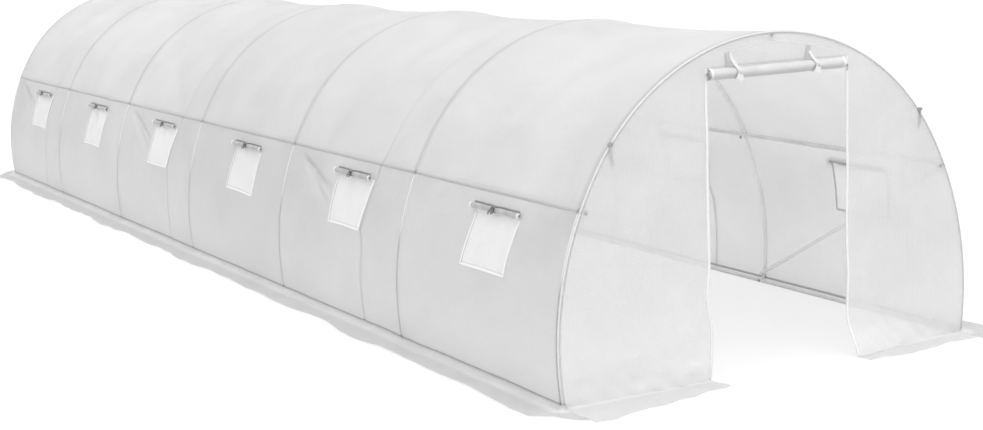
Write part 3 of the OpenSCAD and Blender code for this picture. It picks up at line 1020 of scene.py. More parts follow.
def makeTape(name, rib, fluffScale, dark, light, raised):
    # woven tape: fine ribs across and a little fluff
    material, tree, out = newMaterial(name)
    place = objectPlace(tree)
    weave = useGroup(tree, weaveGroup, {"Vector": place, "Pitch": rib, "Thread": 0.42})
    fluff = noiseNode(tree, place, fluffScale, 6.0, 0.7)
    colour = mixColour(tree, rangeNode(tree, fluff, 0.3, 0.7, smooth=False), grey(dark), grey(light))
    colour = tint(tree, colour, times(tree, weave["Mask"], 0.25), raised)
    normal = bumpNode(tree, mathNode(tree, "MULTIPLY_ADD", weave["Height"], 0.6, fluff), 0.4, 0.0008)
    roughness = rangeNode(tree, fluff, 0.3, 0.7, 0.60, 0.80)
    tree.links.new(shellShader(tree, colour, normal, roughness, {"Sheen Weight": 0.15}), out)
    return material


tapes = {name: makeTape(name, *look) for name, look in tapeLooks.items()}
print("materials built")


# ---- Geometry Nodes trees: a strip along a path, a rolled-up sheet, and a shape set out on points

def keepValue(tree, geometry, value):
    made = tree.nodes.new("GeometryNodeCaptureAttribute")
    made.capture_items.new("FLOAT", "value")
    tree.links.new(geometry, made.inputs[0])
    tree.links.new(value, made.inputs[1])
    return made.outputs[0], made.outputs[1]


def vectorOf(tree, x=0.0, y=0.0, z=0.0):
    return addNode(tree, "ShaderNodeCombineXYZ", {0: x, 1: y, 2: z}).outputs[0]


def storeCut(tree, geometry, along, across):
    store = addNode(tree, "GeometryNodeStoreNamedAttribute", {0: geometry, 2: "Cut"},
                    data_type="FLOAT2", domain="CORNER")
    tree.links.new(vectorOf(tree, along, across), store.inputs[3])
    return store.outputs[0]


def closeTree(tree, geometry, enter, leave):
    solid = addNode(tree, "GeometryNodeRealizeInstances", {0: geometry})
    finish = addNode(tree, "GeometryNodeSetMaterial", {0: solid.outputs[0], "Material": enter["Material"]})
    tree.links.new(finish.outputs[0], leave[0])


def pointVector(tree, label):
    return addNode(tree, "GeometryNodeInputNamedAttribute", {0: label}, data_type="FLOAT_VECTOR").outputs[0]


def buildStrip():
    # a flat strip along each path, its broad side facing where the path's points aim
    tree, enter, leave = newGeoTree("stripAlongPath", {
        "Width": ("Float", 0.03), "Thickness": ("Float", 0.001), "Material": ("Material", None)})
    path = addNode(tree, "GeometryNodeMeshToCurve", {0: enter["Geometry"]})
    facing = addNode(tree, "GeometryNodeSetCurveNormal", {0: path.outputs[0]}, mode="FREE")
    tree.links.new(pointVector(tree, "aim"), facing.inputs["Normal"])
    length = tree.nodes.new("GeometryNodeSplineParameter").outputs["Length"]
    curve, along = keepValue(tree, facing.outputs[0], length)
    section = addNode(tree, "GeometryNodeCurvePrimitiveQuadrilateral",
                      {"Width": enter["Thickness"], "Height": enter["Width"]})
    profile, across = keepValue(tree, section.outputs[0], length)
    swept = addNode(tree, "GeometryNodeCurveToMesh", {0: curve, 1: profile, "Fill Caps": True})
    closeTree(tree, storeCut(tree, swept.outputs[0], along, across), enter, leave)
    return tree


def buildRoll():
    # a sheet rolled up round the Y axis from its end profile, creased a little and drawn in at its ties
    tree, enter, leave = newGeoTree("rolledSheet", {
        "Length": ("Float", 0.57), "Steps": ("Int", 20), "Crinkle": ("Float", 0.002),
        "Crinkle Size": ("Float", 0.05), "Tie Place": ("Float", 0.0), "Tie Width": ("Float", 0.03),
        "Pinch": ("Float", 0.15), "Material": ("Material", None)})
    half = times(tree, enter["Length"], 0.5)
    line = addNode(tree, "GeometryNodeCurvePrimitiveLine",
                   {0: vectorOf(tree, y=times(tree, half, -1.0)), 1: vectorOf(tree, y=half)})
    steps = addNode(tree, "GeometryNodeResampleCurve", {0: line.outputs[0], "Count": enter["Steps"]})
    length = tree.nodes.new("GeometryNodeSplineParameter").outputs["Length"]
    curve, along = keepValue(tree, steps.outputs[0], length)
    turns = addNode(tree, "GeometryNodeMeshToCurve", {0: enter["Geometry"]})
    profile, across = keepValue(tree, turns.outputs[0], length)
    swept = addNode(tree, "GeometryNodeCurveToMesh", {0: curve, 1: profile})
    mapped = storeCut(tree, swept.outputs[0], along, across)
    place = tree.nodes.new("GeometryNodeInputPosition").outputs[0]
    x, y, z = (axisOf(tree, place, axis) for axis in range(3))
    share = mathNode(tree, "SUBTRACT", mathNode(tree, "ABSOLUTE", y), enter["Tie Place"])
    share = mathNode(tree, "DIVIDE", share, enter["Tie Width"])
    near = mathNode(tree, "EXPONENT", times(tree, share, share, -1.0))
    squeeze = mathNode(tree, "SUBTRACT", 1.0, times(tree, near, enter["Pinch"]))
    moved = vectorOf(tree, times(tree, x, squeeze), y, times(tree, z, squeeze))
    finer = mathNode(tree, "DIVIDE", 1.0, enter["Crinkle Size"])
    noise = addNode(tree, "ShaderNodeTexNoise", {"Vector": place, "Scale": finer, "Detail": 2.0})
    centred = addNode(tree, "ShaderNodeVectorMath", {0: noise.outputs["Color"], 1: (0.5, 0.5, 0.5)},
                      operation="SUBTRACT")
    offset = addNode(tree, "ShaderNodeVectorMath", {0: centred.outputs[0]}, operation="SCALE")
    tree.links.new(enter["Crinkle"], offset.inputs["Scale"])
    shaped = addNode(tree, "GeometryNodeSetPosition",
                     {0: mapped, "Position": moved, "Offset": offset.outputs[0]})
    closeTree(tree, shaped.outputs[0], enter, leave)
    return tree


def randomBetween(tree, low, high, seed):
    chance = tree.nodes.new("FunctionNodeRandomValue")
    for socket, value in ((chance.inputs[2], low), (chance.inputs[3], high), (chance.inputs["Seed"], seed)):
        tree.links.new(value, socket)
    return chance.outputs[1]


def buildSetOut():
    # sets a shape out on points: its Z looks along the point's aim and its X along the point's run
    tree, enter, leave = newGeoTree("setOut", {
        "Shape": ("Object", None), "Turn": ("Float", 0.0), "Size Spread": ("Float", 0.0), "Seed": ("Int", 3),
        "Material": ("Material", None)})
    shape = addNode(tree, "GeometryNodeObjectInfo", {0: enter["Shape"]})
    first = addNode(tree, "FunctionNodeAlignRotationToVector", {"Vector": pointVector(tree, "aim")}, axis="Z")
    second = addNode(tree, "FunctionNodeAlignRotationToVector",
                     {"Rotation": first.outputs[0], "Vector": pointVector(tree, "run")},
                     axis="X", pivot_axis="Z")
    angle = randomBetween(tree, times(tree, enter["Turn"], -1.0), enter["Turn"], enter["Seed"])
    turn = addNode(tree, "FunctionNodeAxisAngleToRotation", {0: (0, 0, 1), 1: angle})
    turned = addNode(tree, "FunctionNodeRotateRotation", {0: second.outputs[0], 1: turn.outputs[0]},
                     rotation_space="LOCAL")
    size = randomBetween(tree, mathNode(tree, "SUBTRACT", 1.0, enter["Size Spread"]),
                         mathNode(tree, "ADD", 1.0, enter["Size Spread"]),
                         mathNode(tree, "ADD", enter["Seed"], 1.0))
    placed = addNode(tree, "GeometryNodeInstanceOnPoints", {
        0: enter["Geometry"], "Instance": shape.outputs["Geometry"], "Rotation": turned.outputs[0],
        "Scale": size})
    closeTree(tree, placed.outputs[0], enter, leave)
    return tree


stripTree = buildStrip()
rollTree = buildRoll()
setOutTree = buildSetOut()


def pointsObject(name, points, aim, run=None, edges=()):
    points = np.asarray(points, dtype=float).reshape(-1, 3)
    mesh = bpy.data.meshes.new(name)
    mesh.from_pydata(points.tolist(), list(edges), [])
    for label, values in (("aim", aim), ("run", aim if run is None else run)):
        layer = mesh.attributes.new(label, "FLOAT_VECTOR", "POINT")
        layer.data.foreach_set("vector", np.broadcast_to(values, points.shape).astype(np.float32).ravel())
    return newObject(name, mesh)


def crispEdges(piece, angle=38):
    piece.data.shade_smooth()
    piece.data.set_sharp_from_angle(angle=math.radians(angle))


def strips(name, paths, width, thickness, material):
    # paths is a list of (points, aims, closed)
    points, aims, edges = [], [], []
    for path, aim, closed in paths:
        start = len(points)
        count = len(path)
        points += [tuple(p) for p in path]
        aims += [tuple(a) for a in np.broadcast_to(aim, (count, 3))]
        edges += [(start + n, start + n + 1) for n in range(count - 1)]
        if closed:
            edges.append((start + count - 1, start))
    piece = pointsObject(name, points, np.array(aims), edges=edges)
    useGeoTree(piece, stripTree, {"Width": width, "Thickness": thickness, "Material": material})
    crispEdges(piece)
    return piece


def setOut(name, shape, points, aim, run, material, turn=0.0, sizeSpread=0.0, seed=3):
    piece = pointsObject(name, points, aim, run)
    useGeoTree(piece, setOutTree, {"Shape": shape, "Turn": turn, "Size Spread": sizeSpread, "Seed": seed,
                                   "Material": material})
    crispEdges(piece)
    return piece


def joined(name, pieces):
    bpy.ops.object.select_all(action="DESELECT")
    for piece in pieces:
        piece.select_set(True)
    bpy.context.view_layer.objects.active = pieces[0]
    bpy.ops.object.join()
    pieces[0].name = name
    pieces[0].data.name = name
    return pieces[0]


def discard(*pieces):
    for piece in pieces:
        bpy.data.objects.remove(piece)


def latheShape(name, profile, sides, turn=0.0):
    # a turned shape round Z from (radius, height) pairs, closed at both ends
    angles = np.arange(sides) * 2 * math.pi / sides + turn
    vertices = [(r * math.cos(a), r * math.sin(a), z) for r, z in profile for a in angles]
    faces = []
    for ring in range(len(profile) - 1):
        for n in range(sides):
            m = (n + 1) % sides
            faces.append((ring * sides + n, ring * sides + m, (ring + 1) * sides + m, (ring + 1) * sides + n))
    faces.append(tuple(range(sides))[::-1])
    faces.append(tuple((len(profile) - 1) * sides + n for n in range(sides)))
    return meshObject(name, vertices, faces)


def coverNormal(q, s):
    step = 0.004
    alongQ = coverPoint(q + step, s) - coverPoint(q - step, s)
    alongS = coverPoint(q, s + step) - coverPoint(q, s - step)
    normal = np.cross(alongS, alongQ)
    return normal / np.linalg.norm(normal, axis=-1, keepdims=True)


# ---- windows: nets behind the openings, their hems, rolled flaps and ties

windowParts = {
    "netLap": 0.016,
    "netDepth": 0.0022,
    "netBelly": 0.006,
    "netThickness": 0.0006,
    "hemWidth": 0.015,
    "flapLength": 0.575,
    "coreRadius": 0.0075,
    "rollRadius": 0.0185,
    "turns": 4.3,
    "perTurn": 22,
    "roll": {"Steps": 24, "Crinkle": 0.0028, "Crinkle Size": 0.035, "Tie Width": 0.022, "Pinch": 0.16},
    "filmThickness": 0.0011,
    "tail": (0.0165, 0.030),  # from the roll's back inwards and up to the seam
    "rollRise": 0.021,
    "rollShift": 0.018,  # the rolls sit a little off the openings' middle, away from the front
    "tieWidth": 0.024,
    "tieTails": [(-0.030, 0.036, 0.005), (0.022, 0.030, 0.007)],  # each tail's lean, length and bulge
}


# the rolled window flaps are a grey copy of the film: painted shade for their rolled layers
windowFlapMaterial = makeFilm("windowFlapFilm", press=False, dentSize=0.08, foldPitch=0.6, alpha=0.97,
                              through=0.10, dark=0.46, light=0.62, dust=0.0, threadWhite=0.12, bump=0.5,
                              edgeAt=windowParts["flapLength"])


def makeNets(sideName, side):
    parts = []
    across = windows["width"] / 2 + windowParts["netLap"]
    down = windowHalfS + windowParts["netLap"]
    for number, y in enumerate(windowY):
        columns = y + np.linspace(-across, across, 19)
        rows = windowMidS + np.linspace(-down, down, 13)
        q, s = np.meshgrid(columns, rows)
        belly = (1 - ((q - y) / across) ** 2) * (1 - ((s - windowMidS) / down) ** 2)
        puff = 0.5 + 0.5 * softNoise(q, s, 0.35, 70 + number + 10 * side)
        lift = -windowParts["netDepth"] - windowParts["netBelly"] * belly * puff
        parts.append(sheetObject("net", coverPoint(q, side * s, lift), stacked(q, s), (side, 0, 0.3)))
    piece = joined(sideName + "_window_nets", parts)
    thicken(piece, windowParts["netThickness"])
    finishPiece(piece, screenMaterial, [sideName + "_window_screens"])


def makeWindowHems(sideName, side):
    out = windowParts["hemWidth"] / 2 - 0.001
    corners = [(-1, -1), (1, -1), (1, 1), (-1, 1), (-1, -1)]
    ring = []
    for (qa, sa), (qb, sb) in zip(corners, corners[1:]):
        ring += [(qa + (qb - qa) * t, sa + (sb - sa) * t) for t in np.arange(0, 1, 1 / 14)]
    ring = np.array(ring)
    s = side * (windowMidS + ring[:, 1] * (windowHalfS + out))
    paths = []
    for y in windowY:
        q = y + ring[:, 0] * (windows["width"] / 2 + out)
        paths.append((coverPoint(q, s, 0.0009), coverNormal(q, s), True))
    piece = strips(sideName + "_window_hems", paths, windowParts["hemWidth"], 0.0012, tapes["windowHem"])
    finishPiece(piece)


def rollProfile(core, radius, turns, tail, perTurn):
    # the end view of a rolled sheet: from the middle outwards, then up its back to the seam
    count = int(turns * perTurn)
    share = np.linspace(0, 1, count)
    angle = math.pi + (1 - share) * turns * 2 * math.pi
    radii = core + (radius - core) * share
    points = [(r * math.cos(a), -r * math.sin(a), 0) for r, a in zip(radii, angle)]
    for step in (0.3, 0.65, 1.0):
        points.append((-radius + tail[0] * step**1.6, -tail[1] * step, 0))
    length = float(np.sum(np.linalg.norm(np.diff(np.array(points), axis=0), axis=1)))
    edges = [(n, n + 1) for n in range(len(points) - 1)]
    return pointsObject("rollProfile", points, (0, 0, 1), edges=edges), length


def rolledSheet(part, length, tail, tiePlace, material):
    # a rolled-up sheet that lies along Y, and the length it was cut to
    profile, cutLength = rollProfile(part["coreRadius"], part["rollRadius"], part["turns"], tail,
                                     part["perTurn"])
    useGeoTree(profile, rollTree, {**part["roll"], "Length": length, "Tie Place": tiePlace,
                                   "Material": material})
    thicken(profile, part["filmThickness"])
    freeze(profile)
    return profile, cutLength


def knotShape(size, width, material):
    # a tight overhand knot in a flat strap
    t = np.linspace(0, 2 * math.pi, 37)[:-1]
    points = stacked(np.sin(t) + 2 * np.sin(2 * t), np.cos(t) - 2 * np.cos(2 * t), -1.4 * np.sin(3 * t))
    points = points * size / 3
    aim = points + stacked(0, 0, 0.8 * size * np.cos(3 * t))
    return strips("knot", [(points, aim, True)], width, 0.0016, material)


def tieShape(name, radius, width, tails, material):
    # a strap round a roll, knotted in front, with its tails hanging down; X looks outwards and Z up
    t = np.linspace(0, 2 * math.pi, 33)[:-1]
    wave = 1 + 0.02 * np.sin(3 * t)
    ring = stacked(radius * wave * np.cos(t), 0.003 * np.sin(2 * t), radius * wave * np.sin(t))
    paths = [(ring, ring * (1, 0, 1), True)]
    for lean, length, out in tails:
        u = np.linspace(0, 1, 9)
        forward = radius * 0.98 + 0.006 + out * np.sin(math.pi * u * 0.9)
        tail = stacked(forward, lean * u, radius * 0.1 - length * u)
        paths.append((tail, (1, 0, 0.15), False))
    loop = strips("loop", paths, width, 0.0013, material)
    knot = knotShape(width * 0.42, width * 0.5, material)
    turn = Matrix.Rotation(math.radians(80), 4, "Y")
    knot.data.transform(Matrix.Translation((radius + 0.006, 0, radius * 0.12)) @ turn)
    return joined(name, [loop, knot])


def makeWindowRolls():
    profile, cutLength = rolledSheet(windowParts, windowParts["flapLength"], windowParts["tail"], 0.0,
                                     windowFlapMaterial)
    tie = tieShape("windowTie", windowParts["rollRadius"] * 0.88 + 0.0015, windowParts["tieWidth"],
                   windowParts["tieTails"], tapes["windowTieStrap"])
    ties = []
    q = windowY + windowParts["rollShift"]
    for sideName, side in bothSides:
        centreS = np.full(q.shape, side * (headS - windowParts["rollRise"]))
        normal = coverNormal(q, centreS) * (1, 0, 1)
        normal /= np.linalg.norm(normal, axis=-1, keepdims=True)
        centre = coverPoint(q, centreS) + normal * (windowParts["rollRadius"] + 0.0025)
        up = stacked(-normal[:, 2] * side, 0, np.abs(normal[:, 0]))
        piece = setOut(sideName + "_window_flap_rolls", profile, centre, up, normal, windowFlapMaterial,
                       turn=0.02, sizeSpread=0.02, seed=5 + side)
        finishPiece(piece, None, [sideName + "_window_rolls"])
        ties.append(setOut("ties", tie, centre, up, normal, tapes["windowTieStrap"],
                           turn=0.05, sizeSpread=0.02, seed=8 + side))
    discard(profile, tie)
    piece = joined("window_roll_ties", ties)
    finishPiece(piece, None, ["window_ties"])
    print("windows made, flap cut", round(cutLength, 3))


# ---- the rolled doors, their ties and the zips

door = {
    "rollLength": 0.972,
    "rollShift": 0.034,
    "coreRadius": 0.007,
    "rollRadius": 0.0352,
    "turns": 12.6,
    "perTurn": 20,
    "roll": {"Steps": 30, "Crinkle": 0.005, "Crinkle Size": 0.16, "Tie Width": 0.035, "Pinch": 0.07},
    "filmThickness": 0.0011,
    "tieWidth": 0.026,
    "tieTails": [(0.012, 0.050, 0.004), (-0.016, 0.040, 0.006)],
    "backStrapWidth": 0.030,
    "zipWidth": 0.017,
    "toothPitch": 0.0065,
    "slider": [(0.0050, 0), (0.0078, 0.001), (0.0082, 0.004), (0.0066, 0.0068), (0.003, 0.0075)],
}
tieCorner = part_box("door_ties")[1]
tieX = tieCorner.x - 0.016
tieTop = tieCorner.z
# the rolled door is a darker copy of the door film: painted shade for its rolled layers
rolledFilmMaterial = makeFilm("rolledFilm", press=False, dentSize=0.12, foldPitch=0.6, alpha=0.97,
                              through=0.08, dark=0.66, light=0.77, dust=0.0, bump=0.5, under=0.55,
                              edgeAt=door["rollLength"])


def makeDoorRolls():
    rise = doorTop - rollMiddle.z
    for endName, end in bothEnds:
        profile, cutLength = rolledSheet(door, door["rollLength"], (door["rollRadius"] + 0.001, rise - 0.001),
                                         tieX - 0.02, rolledFilmMaterial)
        place = (door["rollShift"], end * abs(rollMiddle.y), rollMiddle.z)
        piece = setOut(endName + "_door_film_roll", profile, [place], (0, 0, 1), (0, end, 0),
                       rolledFilmMaterial)
        discard(profile)
        finishPiece(piece, None, [endName + "_door_roll"])
    print("door rolls made, door cut", round(cutLength, 3))


def makeDoorTies():
    # at each tie a strap behind the roll, grey as painted shade for the tie tape's shaded side, a loop round
    # it, and a sling that holds it up
    white = tapes["doorTieStrap"]
    loop = tieShape("doorTie", door["rollRadius"] * 0.96 + 0.002, door["tieWidth"], door["tieTails"], white)
    pieces, straps, slings = [], [], []
    u = np.linspace(0, 1, 9)
    for end in (-1, 1):
        face = end * abs(endFaceY)
        for side in (-1, 1):
            x = side * (tieX - 0.02)
            place = (x + 0.020, end * abs(rollMiddle.y), rollMiddle.z)
            pieces.append(setOut("loops", loop, [place], (0, 0, 1), (0, end, 0), white))
            across = x - 0.034 - 0.004 * side + (0.006 + 0.018 * side) * (1 - u)
            out = face + end * (0.0035 + 0.004 * np.sin(math.pi * u))
            down = tieTop - (tieTop - doorTop + 0.012) * u
            straps.append((stacked(across, out, down), (0, end, 0.02), False))
            across = x - 0.022 + 0.040 * u**1.3
            out = face + end * (0.004 + 0.030 * u**2)
            down = tieTop - 0.003 - (tieTop - rollMiddle.z - 0.024) * u
            slings.append((stacked(across, out, down), (0, end, 0.1), False))
    discard(loop)
    pieces.append(strips("straps", straps, door["backStrapWidth"], 0.0014, tapes["backStrap"]))
    pieces.append(strips("slings", slings, door["tieWidth"] * 0.7, 0.0014, white))
    finishPiece(joined("door_roll_ties", pieces), None, ["door_ties"])


def alongPath(path, spacing):
    steps = np.r_[0, np.cumsum(np.linalg.norm(np.diff(path, axis=0), axis=1))]
    places = np.arange(spacing / 2, steps[-1], spacing)
    return np.stack([np.interp(places, steps, path[:, n]) for n in range(3)], -1)


def makeZips():
    tooth = boxShape("tooth", 0.0024, 0.0011, 0.0018)
    paths, teeth, aims, runs = [], [], [], []
    for end in (-1, 1):
        for side in (-1, 1):
            points, _, _ = endPanel(side)
            edge = points[:, 0] * (1, -end, 1)
            inner = points[:, 1] * (1, -end, 1)
            outward = np.sign(inner[0, 0] - edge[0, 0])
            run = np.gradient(edge, axis=0)
            run /= np.linalg.norm(run, axis=1, keepdims=True)
            aim = np.cross(run, (1, 0, 0))
            aim *= np.where((aim * (0, end, 0.3)).sum(1, keepdims=True) > 0, 1, -1)
            middle = edge + np.array((outward * door["zipWidth"] / 2, 0, 0)) + aim * 0.0014
            standing = edge[:, 2] > (0.016 if side < 0 else 0.007)
            paths.append((middle[standing], aim[standing], False))
            line = edge + np.array((outward * 0.0015, 0, 0)) + aim * 0.0018
            spots = alongPath(line[standing], door["toothPitch"])
            nearest = np.argmin(np.linalg.norm(spots[:, None] - line[None], axis=2), axis=1)
            teeth.append(spots)
            aims.append(aim[nearest])
            runs.append(np.broadcast_to((1.0, 0.0, 0.0), spots.shape))
    zipTapes = strips("tapes", paths, door["zipWidth"], 0.0012, tapes["zipTape"])
    made = setOut("teeth", tooth, *(np.concatenate(rows) for rows in (teeth, aims, runs)), tapes["zipTape"])
    discard(tooth)
    slider = latheShape("slider", door["slider"], 12)
    spots, aim = [], []
    for end in (-1, 1):
        for side in (-1, 1):
            jamb = side * (doorHalf + ends["jambShift"][side] + 0.004)
            spots.append((jamb, end * (abs(endFaceY) + 0.0025), doorTop - 0.035 - 0.020 * (side > 0)))
            aim.append((0, end, 0))
    sliders = setOut("sliders", slider, spots, np.array(aim, float), (0, 0, 1), boltMaterial)
    discard(slider)
    tabs = []
    u = np.linspace(0, 1, 6)
    for (x, y, z), (_, facing, _) in zip(spots, aim):
        out = y + facing * (0.0085 + 0.004 * np.sin(math.pi * u))
        tabs.append((stacked(x - 0.004 * u, out, z + 0.002 - 0.034 * u), (0, facing, 0.1), False))
    pulls = strips("pulls", tabs, 0.006, 0.0016, boltMaterial)
    finishPiece(joined("door_zip_tapes", [zipTapes, made, sliders, pulls]), None, ["door_zips"])
    print("doors made")


# ---- the white hem round each end arch, the seam on the head panel and the knotted ties at the shoulders

hem = {
    "footHeight": 0.030,
    "start": 0.006,
    "lift": 0.0012,
    "stitchPitch": 0.010,
    "seamInset": 0.052,
    "seamReach": (-0.34, 0.42),
    "fittingHeight": 1.450,
    "eyeletRadius": 0.0125,
    "eyeletThickness": 0.0042,
}


def hemPoint(d, s, end, lift):
    # d runs from the cover, over the tube's outer edge and on to the end wall
    q = np.where(end < 0, archY[0] - d, archY[-1] + d)
    flat = np.maximum(d - wrapLength, 0)
    q = np.clip(q, archY[0] - wrapLength, archY[-1] + wrapLength)
    point = coverPoint(q, s, lift)
    x, z = hoopPoint(s, archTubeInset + flat)
    onEnd = stacked(x, end * (abs(endFaceY) + lift), z)
    return np.where((d > wrapLength)[..., None], onEnd, point)


def makeHemMaterial():
    # white along the tube, greyed with painted shade where its two edges are sewn down
    material = tapes["hemTape"].copy()
    material.name = "archHem"
    tree = material.node_tree
    shell = next(node for node in tree.nodes if node.type == "BSDF_PRINCIPLED")
    plain = shell.inputs["Base Color"].links[0].from_socket
    cut = clothPlace(tree)
    across = axisOf(tree, cut, 1)
    edges = mathNode(tree, "MAXIMUM", fade(tree, across, -0.003, 0.002),
                     rangeNode(tree, across, wrapLength - 0.004, wrapLength + 0.002))
    grime = times(tree, edges, rangeNode(tree, noiseNode(tree, cut, 5.0, 4.0), 0.35, 0.6, 0.45, 0.95))
    tree.links.new(mixColour(tree, grime, plain, grey(0.40)), shell.inputs["Base Color"])
    return material


def makeHems():
    foot = sAtHeight(hem["footHeight"])
    down = np.arange(-foot, foot, 0.030)
    levels = np.linspace(hem["start"], wrapLength - hem["start"], 7)
    stitch = boxShape("stitch", 0.0026, 0.0006, 0.0008)
    material = makeHemMaterial()
    run = np.arange(-foot + 0.01, foot, hem["stitchPitch"])
    for endName, end in bothEnds:
        d, s = np.meshgrid(levels, down, indexing="ij")
        tape = sheetObject("tape", hemPoint(d, s, end, hem["lift"]), stacked(s, d), (0, 0.2 * end, -1))
        thicken(tape, tunnel["tapeThickness"])
        freeze(tape)
        tape.data.materials.append(material)
        spots, aims, runs = [], [], []
        for level in (hem["start"] + 0.002, wrapLength - hem["start"] - 0.002):
            atLevel = np.full(run.shape, level)
            here = hemPoint(atLevel, run, end, hem["lift"])
            spots.append(here)
            runs.append(hemPoint(atLevel, run + 0.004, end, hem["lift"]) - here)
            aims.append(hemPoint(atLevel, run, end, hem["lift"] + 0.01) - here)
        stitches = setOut("stitches", stitch, *(np.concatenate(rows) for rows in (spots, aims, runs)),
                          tapes["stitchThread"])
        across = np.linspace(*hem["seamReach"], 30)
        top = archTubeInset + hem["seamInset"]
        z = crownZ + np.sqrt((crownRadius - top) ** 2 - across**2)
        y = end * (abs(endFaceY) - endDepth(across, z) + 0.0006)
        path = (stacked(across, y, z), (0, end, 0.01), False)
        seam = strips("seam", [path], 0.009, 0.0014, tapes["seamThread"])
        finishPiece(joined(endName + "_hem_tape", [tape, stitches, seam]))
    discard(stitch)


def makeFittings():
    # an eyelet on the front hem at each shoulder, with a knotted tape through it and two tails hanging down
    sides = 20
    middle, thick = hem["eyeletRadius"], hem["eyeletThickness"]
    section = [(middle + thick * math.cos(a), 0.0022 + thick * math.sin(a))
               for a in np.linspace(-math.pi, math.pi, 13)[:-1]]
    turned = latheShape("ring", section, sides)
    faces = [tuple(face.vertices) for face in turned.data.polygons if len(face.vertices) == 4]
    corners = [vertex.co[:] for vertex in turned.data.vertices]
    lastRing = (len(section) - 1) * sides
    faces += [(lastRing + n, lastRing + (n + 1) % sides, (n + 1) % sides, n) for n in range(sides)]
    discard(turned)
    ring = meshObject("ring", corners, faces)
    strap = tapes["backStrap"]
    knot = knotShape(0.0100, 0.0095, strap)
    places, aims, knots, tails = [], [], [], []
    s = sAtHeight(hem["fittingHeight"])
    end = -1
    level = np.array([wrapLength * 0.55])
    u = np.linspace(0, 1, 12)
    for side in (-1, 1):
        spot, outer = (hemPoint(level, np.array([side * s]), end, lift)[0] for lift in (0.0015, 0.0215))
        aim = (outer - spot) / np.linalg.norm(outer - spot)
        places.append(spot)
        aims.append(aim)
        knots.append(spot + aim * 0.010 + np.array((side * 0.004, 0, 0)))
        x, y, z = spot + aim * 0.009
        faceY = end * (abs(endFaceY) + 0.006)
        for lean, out, bend, drop, length, turn in (
                (-0.012, 0.004, 0.6, 0.010, 0.105, 0.3), (0.006, 0.008, 0.8, 0.008, 0.060, 0.6)):
            tail = stacked(x + side * lean * u, y + (faceY + end * out - y) * u**bend, z - drop - length * u)
            tails.append((tail, (turn * side, end, 0.05), False))
    rings = setOut("rings", ring, places, np.array(aims), (0, 0, 1), boltMaterial)
    tied = setOut("tied", knot, knots, np.array(aims), (0, 0, 1), strap, turn=0.6, seed=4)
    hanging = strips("hanging", tails, 0.010, 0.0012, strap)
    discard(ring, knot)
    finishPiece(joined("hem_ties", [tied, hanging, rings]))
    print("hems made")


# ---- bolts where the tubes cross

bolts = {
    "headRadius": 0.0085,
    "headHeight": 0.0055,
    "washerRadius": 0.0120,
    "cap": [(0.0105, 0.0), (0.0108, 0.001), (0.0088, 0.0036), (0.0045, 0.0050)],  # radius and height
}


def makeBolts():
    r, h, w = bolts["headRadius"], bolts["headHeight"], bolts["washerRadius"]
    rim = [(w - 0.001, -0.001), (w, 0.0), (w, 0.0012), (w - 0.001, 0.0016), (r, 0.0016)]
    washer = latheShape("washer", rim, 16)
    head = latheShape("head", [(r, 0.0014), (r, h - 0.001), (r - 0.0012, h), (0.0035, h)], 6, 0.3)
    thread = latheShape("thread", [(0.0034, h - 0.001), (0.0034, h + 0.004), (0.0026, h + 0.005)], 10)
    shape = joined("bolt", [washer, head, thread])
    places, aims = [], []
    inset = archTubeInset + tubeRadius * 2 + 0.0005
    for y in archY:
        for s in (-purlinS, 0.0, purlinS):
            inner, outer = (np.array(hoopPoint(np.array([s]), depth))[:, 0]
                            for depth in (inset + tubeRadius + 0.0002, inset))
            toward = (inner - outer) / np.linalg.norm(inner - outer)
            places.append((inner[0], y, inner[1]))
            aims.append((toward[0], 0, toward[1]))
        for sideName, side in bothSides:
            low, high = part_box(sideName + "_ground_rail")
            places.append((high.x if side < 0 else low.x, y, (low.z + high.z) / 2))
            aims.append((-side, 0, 0.0))
    piece = setOut("frame_bolts", shape, places, np.array(aims, float), (0, 1, 0), boltMaterial,
                   turn=0.5, seed=6)
    finishPiece(piece)
    heads, capAims = [], []
    cap = latheShape("cap", bolts["cap"], 12)
    for end in (-1, 1):
        for s in (-purlinS, 0.0, purlinS):
            level = np.array([wrapLength + (0.022 if s else 0.006)])
            heads.append(hemPoint(level, np.array([s]), end, hem["lift"])[0])
            capAims.append((0, end, 0.0))
    caps = setOut("end_bolt_caps", cap, heads, np.array(capAims, float), (1, 0, 0), boltMaterial)
    finishPiece(caps)
    discard(shape, cap)
    print("bolts made")


# ---- making everything

makeRoof()
for sideName, side in bothSides:
    makeWall(sideName, side)
    makeSkirt(sideName, side)
for endName, end in bothEnds:
    makeEnd(endName, end)
print("films made")
for sideName, side in bothSides:
    makeNets(sideName, side)
    makeWindowHems(sideName, side)
makeWindowRolls()
makeDoorRolls()
makeDoorTies()
makeZips()
makeHems()
makeFittings()
makeBolts()

for name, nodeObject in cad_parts.items():
    if nodeObject.hide_render:
        continue
    white = name.startswith("arch_") or name.endswith(("_ground_rail", "_brace"))
    nodeObject.data.materials.clear()
    nodeObject.data.materials.append(archMaterial if white else purlinMaterial)


# ---- floor, light and camera

stage = {
    "floorSize": 400.0,
    "floorLight": 0.62,  # share of the floor's own white that the camera sees, so that its shadow stays soft
    "worldStrength": 0.80,
    "sunStrength": 1.66,
    "sunAngle": math.radians(70),
    "sunLean": (math.radians(18), math.radians(4)),
}


def plainlySeen(tree):
    # one where the camera sees a surface, straight on or by a reflection or through glass
    path = tree.nodes.new("ShaderNodeLightPath")
    seen = mathNode(tree, "MAXIMUM", path.outputs["Is Camera Ray"], path.outputs["Is Glossy Ray"])
    return mathNode(tree, "MAXIMUM", seen, path.outputs["Is Transmission Ray"])


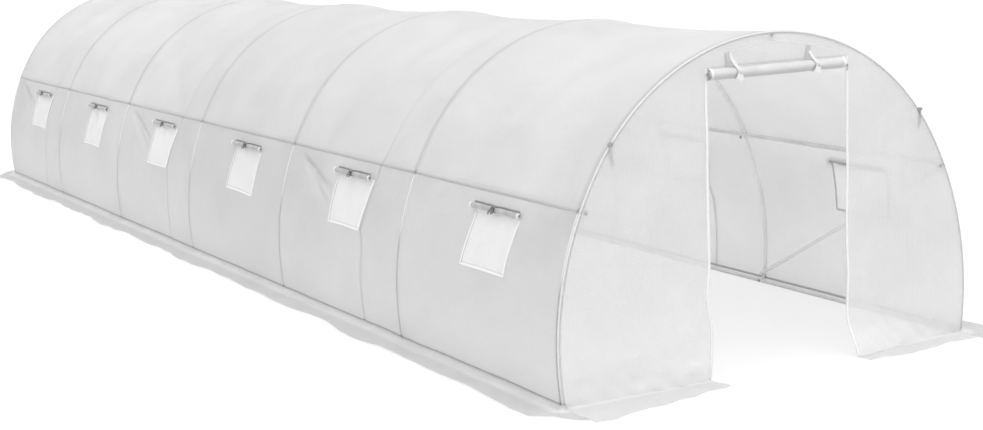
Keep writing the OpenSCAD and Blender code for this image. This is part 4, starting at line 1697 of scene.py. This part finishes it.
def makeFloor():
    size = stage["floorSize"]
    corners = [(-size, -size, 0), (size, -size, 0), (size, size, 0), (-size, size, 0)]
    floor = meshObject("floor", corners, [(0, 1, 2, 3)], False)
    material, tree, out = newMaterial("paleFloor")
    plain = addNode(tree, "ShaderNodeBsdfDiffuse", {"Color": grey(0.93)})
    white = addNode(tree, "ShaderNodeEmission", {"Color": grey(1.0), "Strength": 1.0})
    share = times(tree, plainlySeen(tree), stage["floorLight"])
    mixShaders(tree, out, share, plain.outputs[0], white.outputs[0])
    floor.data.materials.append(material)


def makeLight():
    world = bpy.data.worlds.new("studio")
    world.use_nodes = True
    tree = world.node_tree
    tree.nodes.clear()
    strength = rangeNode(tree, plainlySeen(tree), 0.0, 1.0, stage["worldStrength"], 1.0, smooth=False)
    light = addNode(tree, "ShaderNodeBackground", {"Color": grey(1.0), "Strength": strength})
    out = tree.nodes.new("ShaderNodeOutputWorld")
    tree.links.new(light.outputs[0], out.inputs[0])
    scene.world = world
    lamp = bpy.data.lights.new("softSun", "SUN")
    lamp.energy = stage["sunStrength"]
    lamp.angle = stage["sunAngle"]
    newObject("softSun", lamp).rotation_euler = (*stage["sunLean"], 0)


camera = {
    "place": (-6.308, -14.088, 2.718),
    "yaw": 0.501,
    "pitch": 0.169,
    "roll": -0.039,
    "lens": 64.57,
}


def makeCamera():
    yaw, pitch, roll = camera["yaw"], camera["pitch"], camera["roll"]
    forward = Vector((math.sin(yaw) * math.cos(pitch), math.cos(yaw) * math.cos(pitch), -math.sin(pitch)))
    right = Vector((math.cos(yaw), -math.sin(yaw), 0))
    up = right.cross(forward)
    turnedRight = right * math.cos(roll) + up * math.sin(roll)
    turnedUp = up * math.cos(roll) - right * math.sin(roll)
    turn = Matrix((turnedRight, turnedUp, -forward)).transposed()
    data = bpy.data.cameras.new("view")
    data.lens = camera["lens"]
    data.sensor_width = 36.0
    data.clip_end = 500.0
    view = newObject("view", data)
    view.matrix_world = Matrix.Translation(camera["place"]) @ turn.to_4x4()
    scene.camera = view


makeFloor()
makeLight()
makeCamera()
scene.view_settings.view_transform = "Standard"
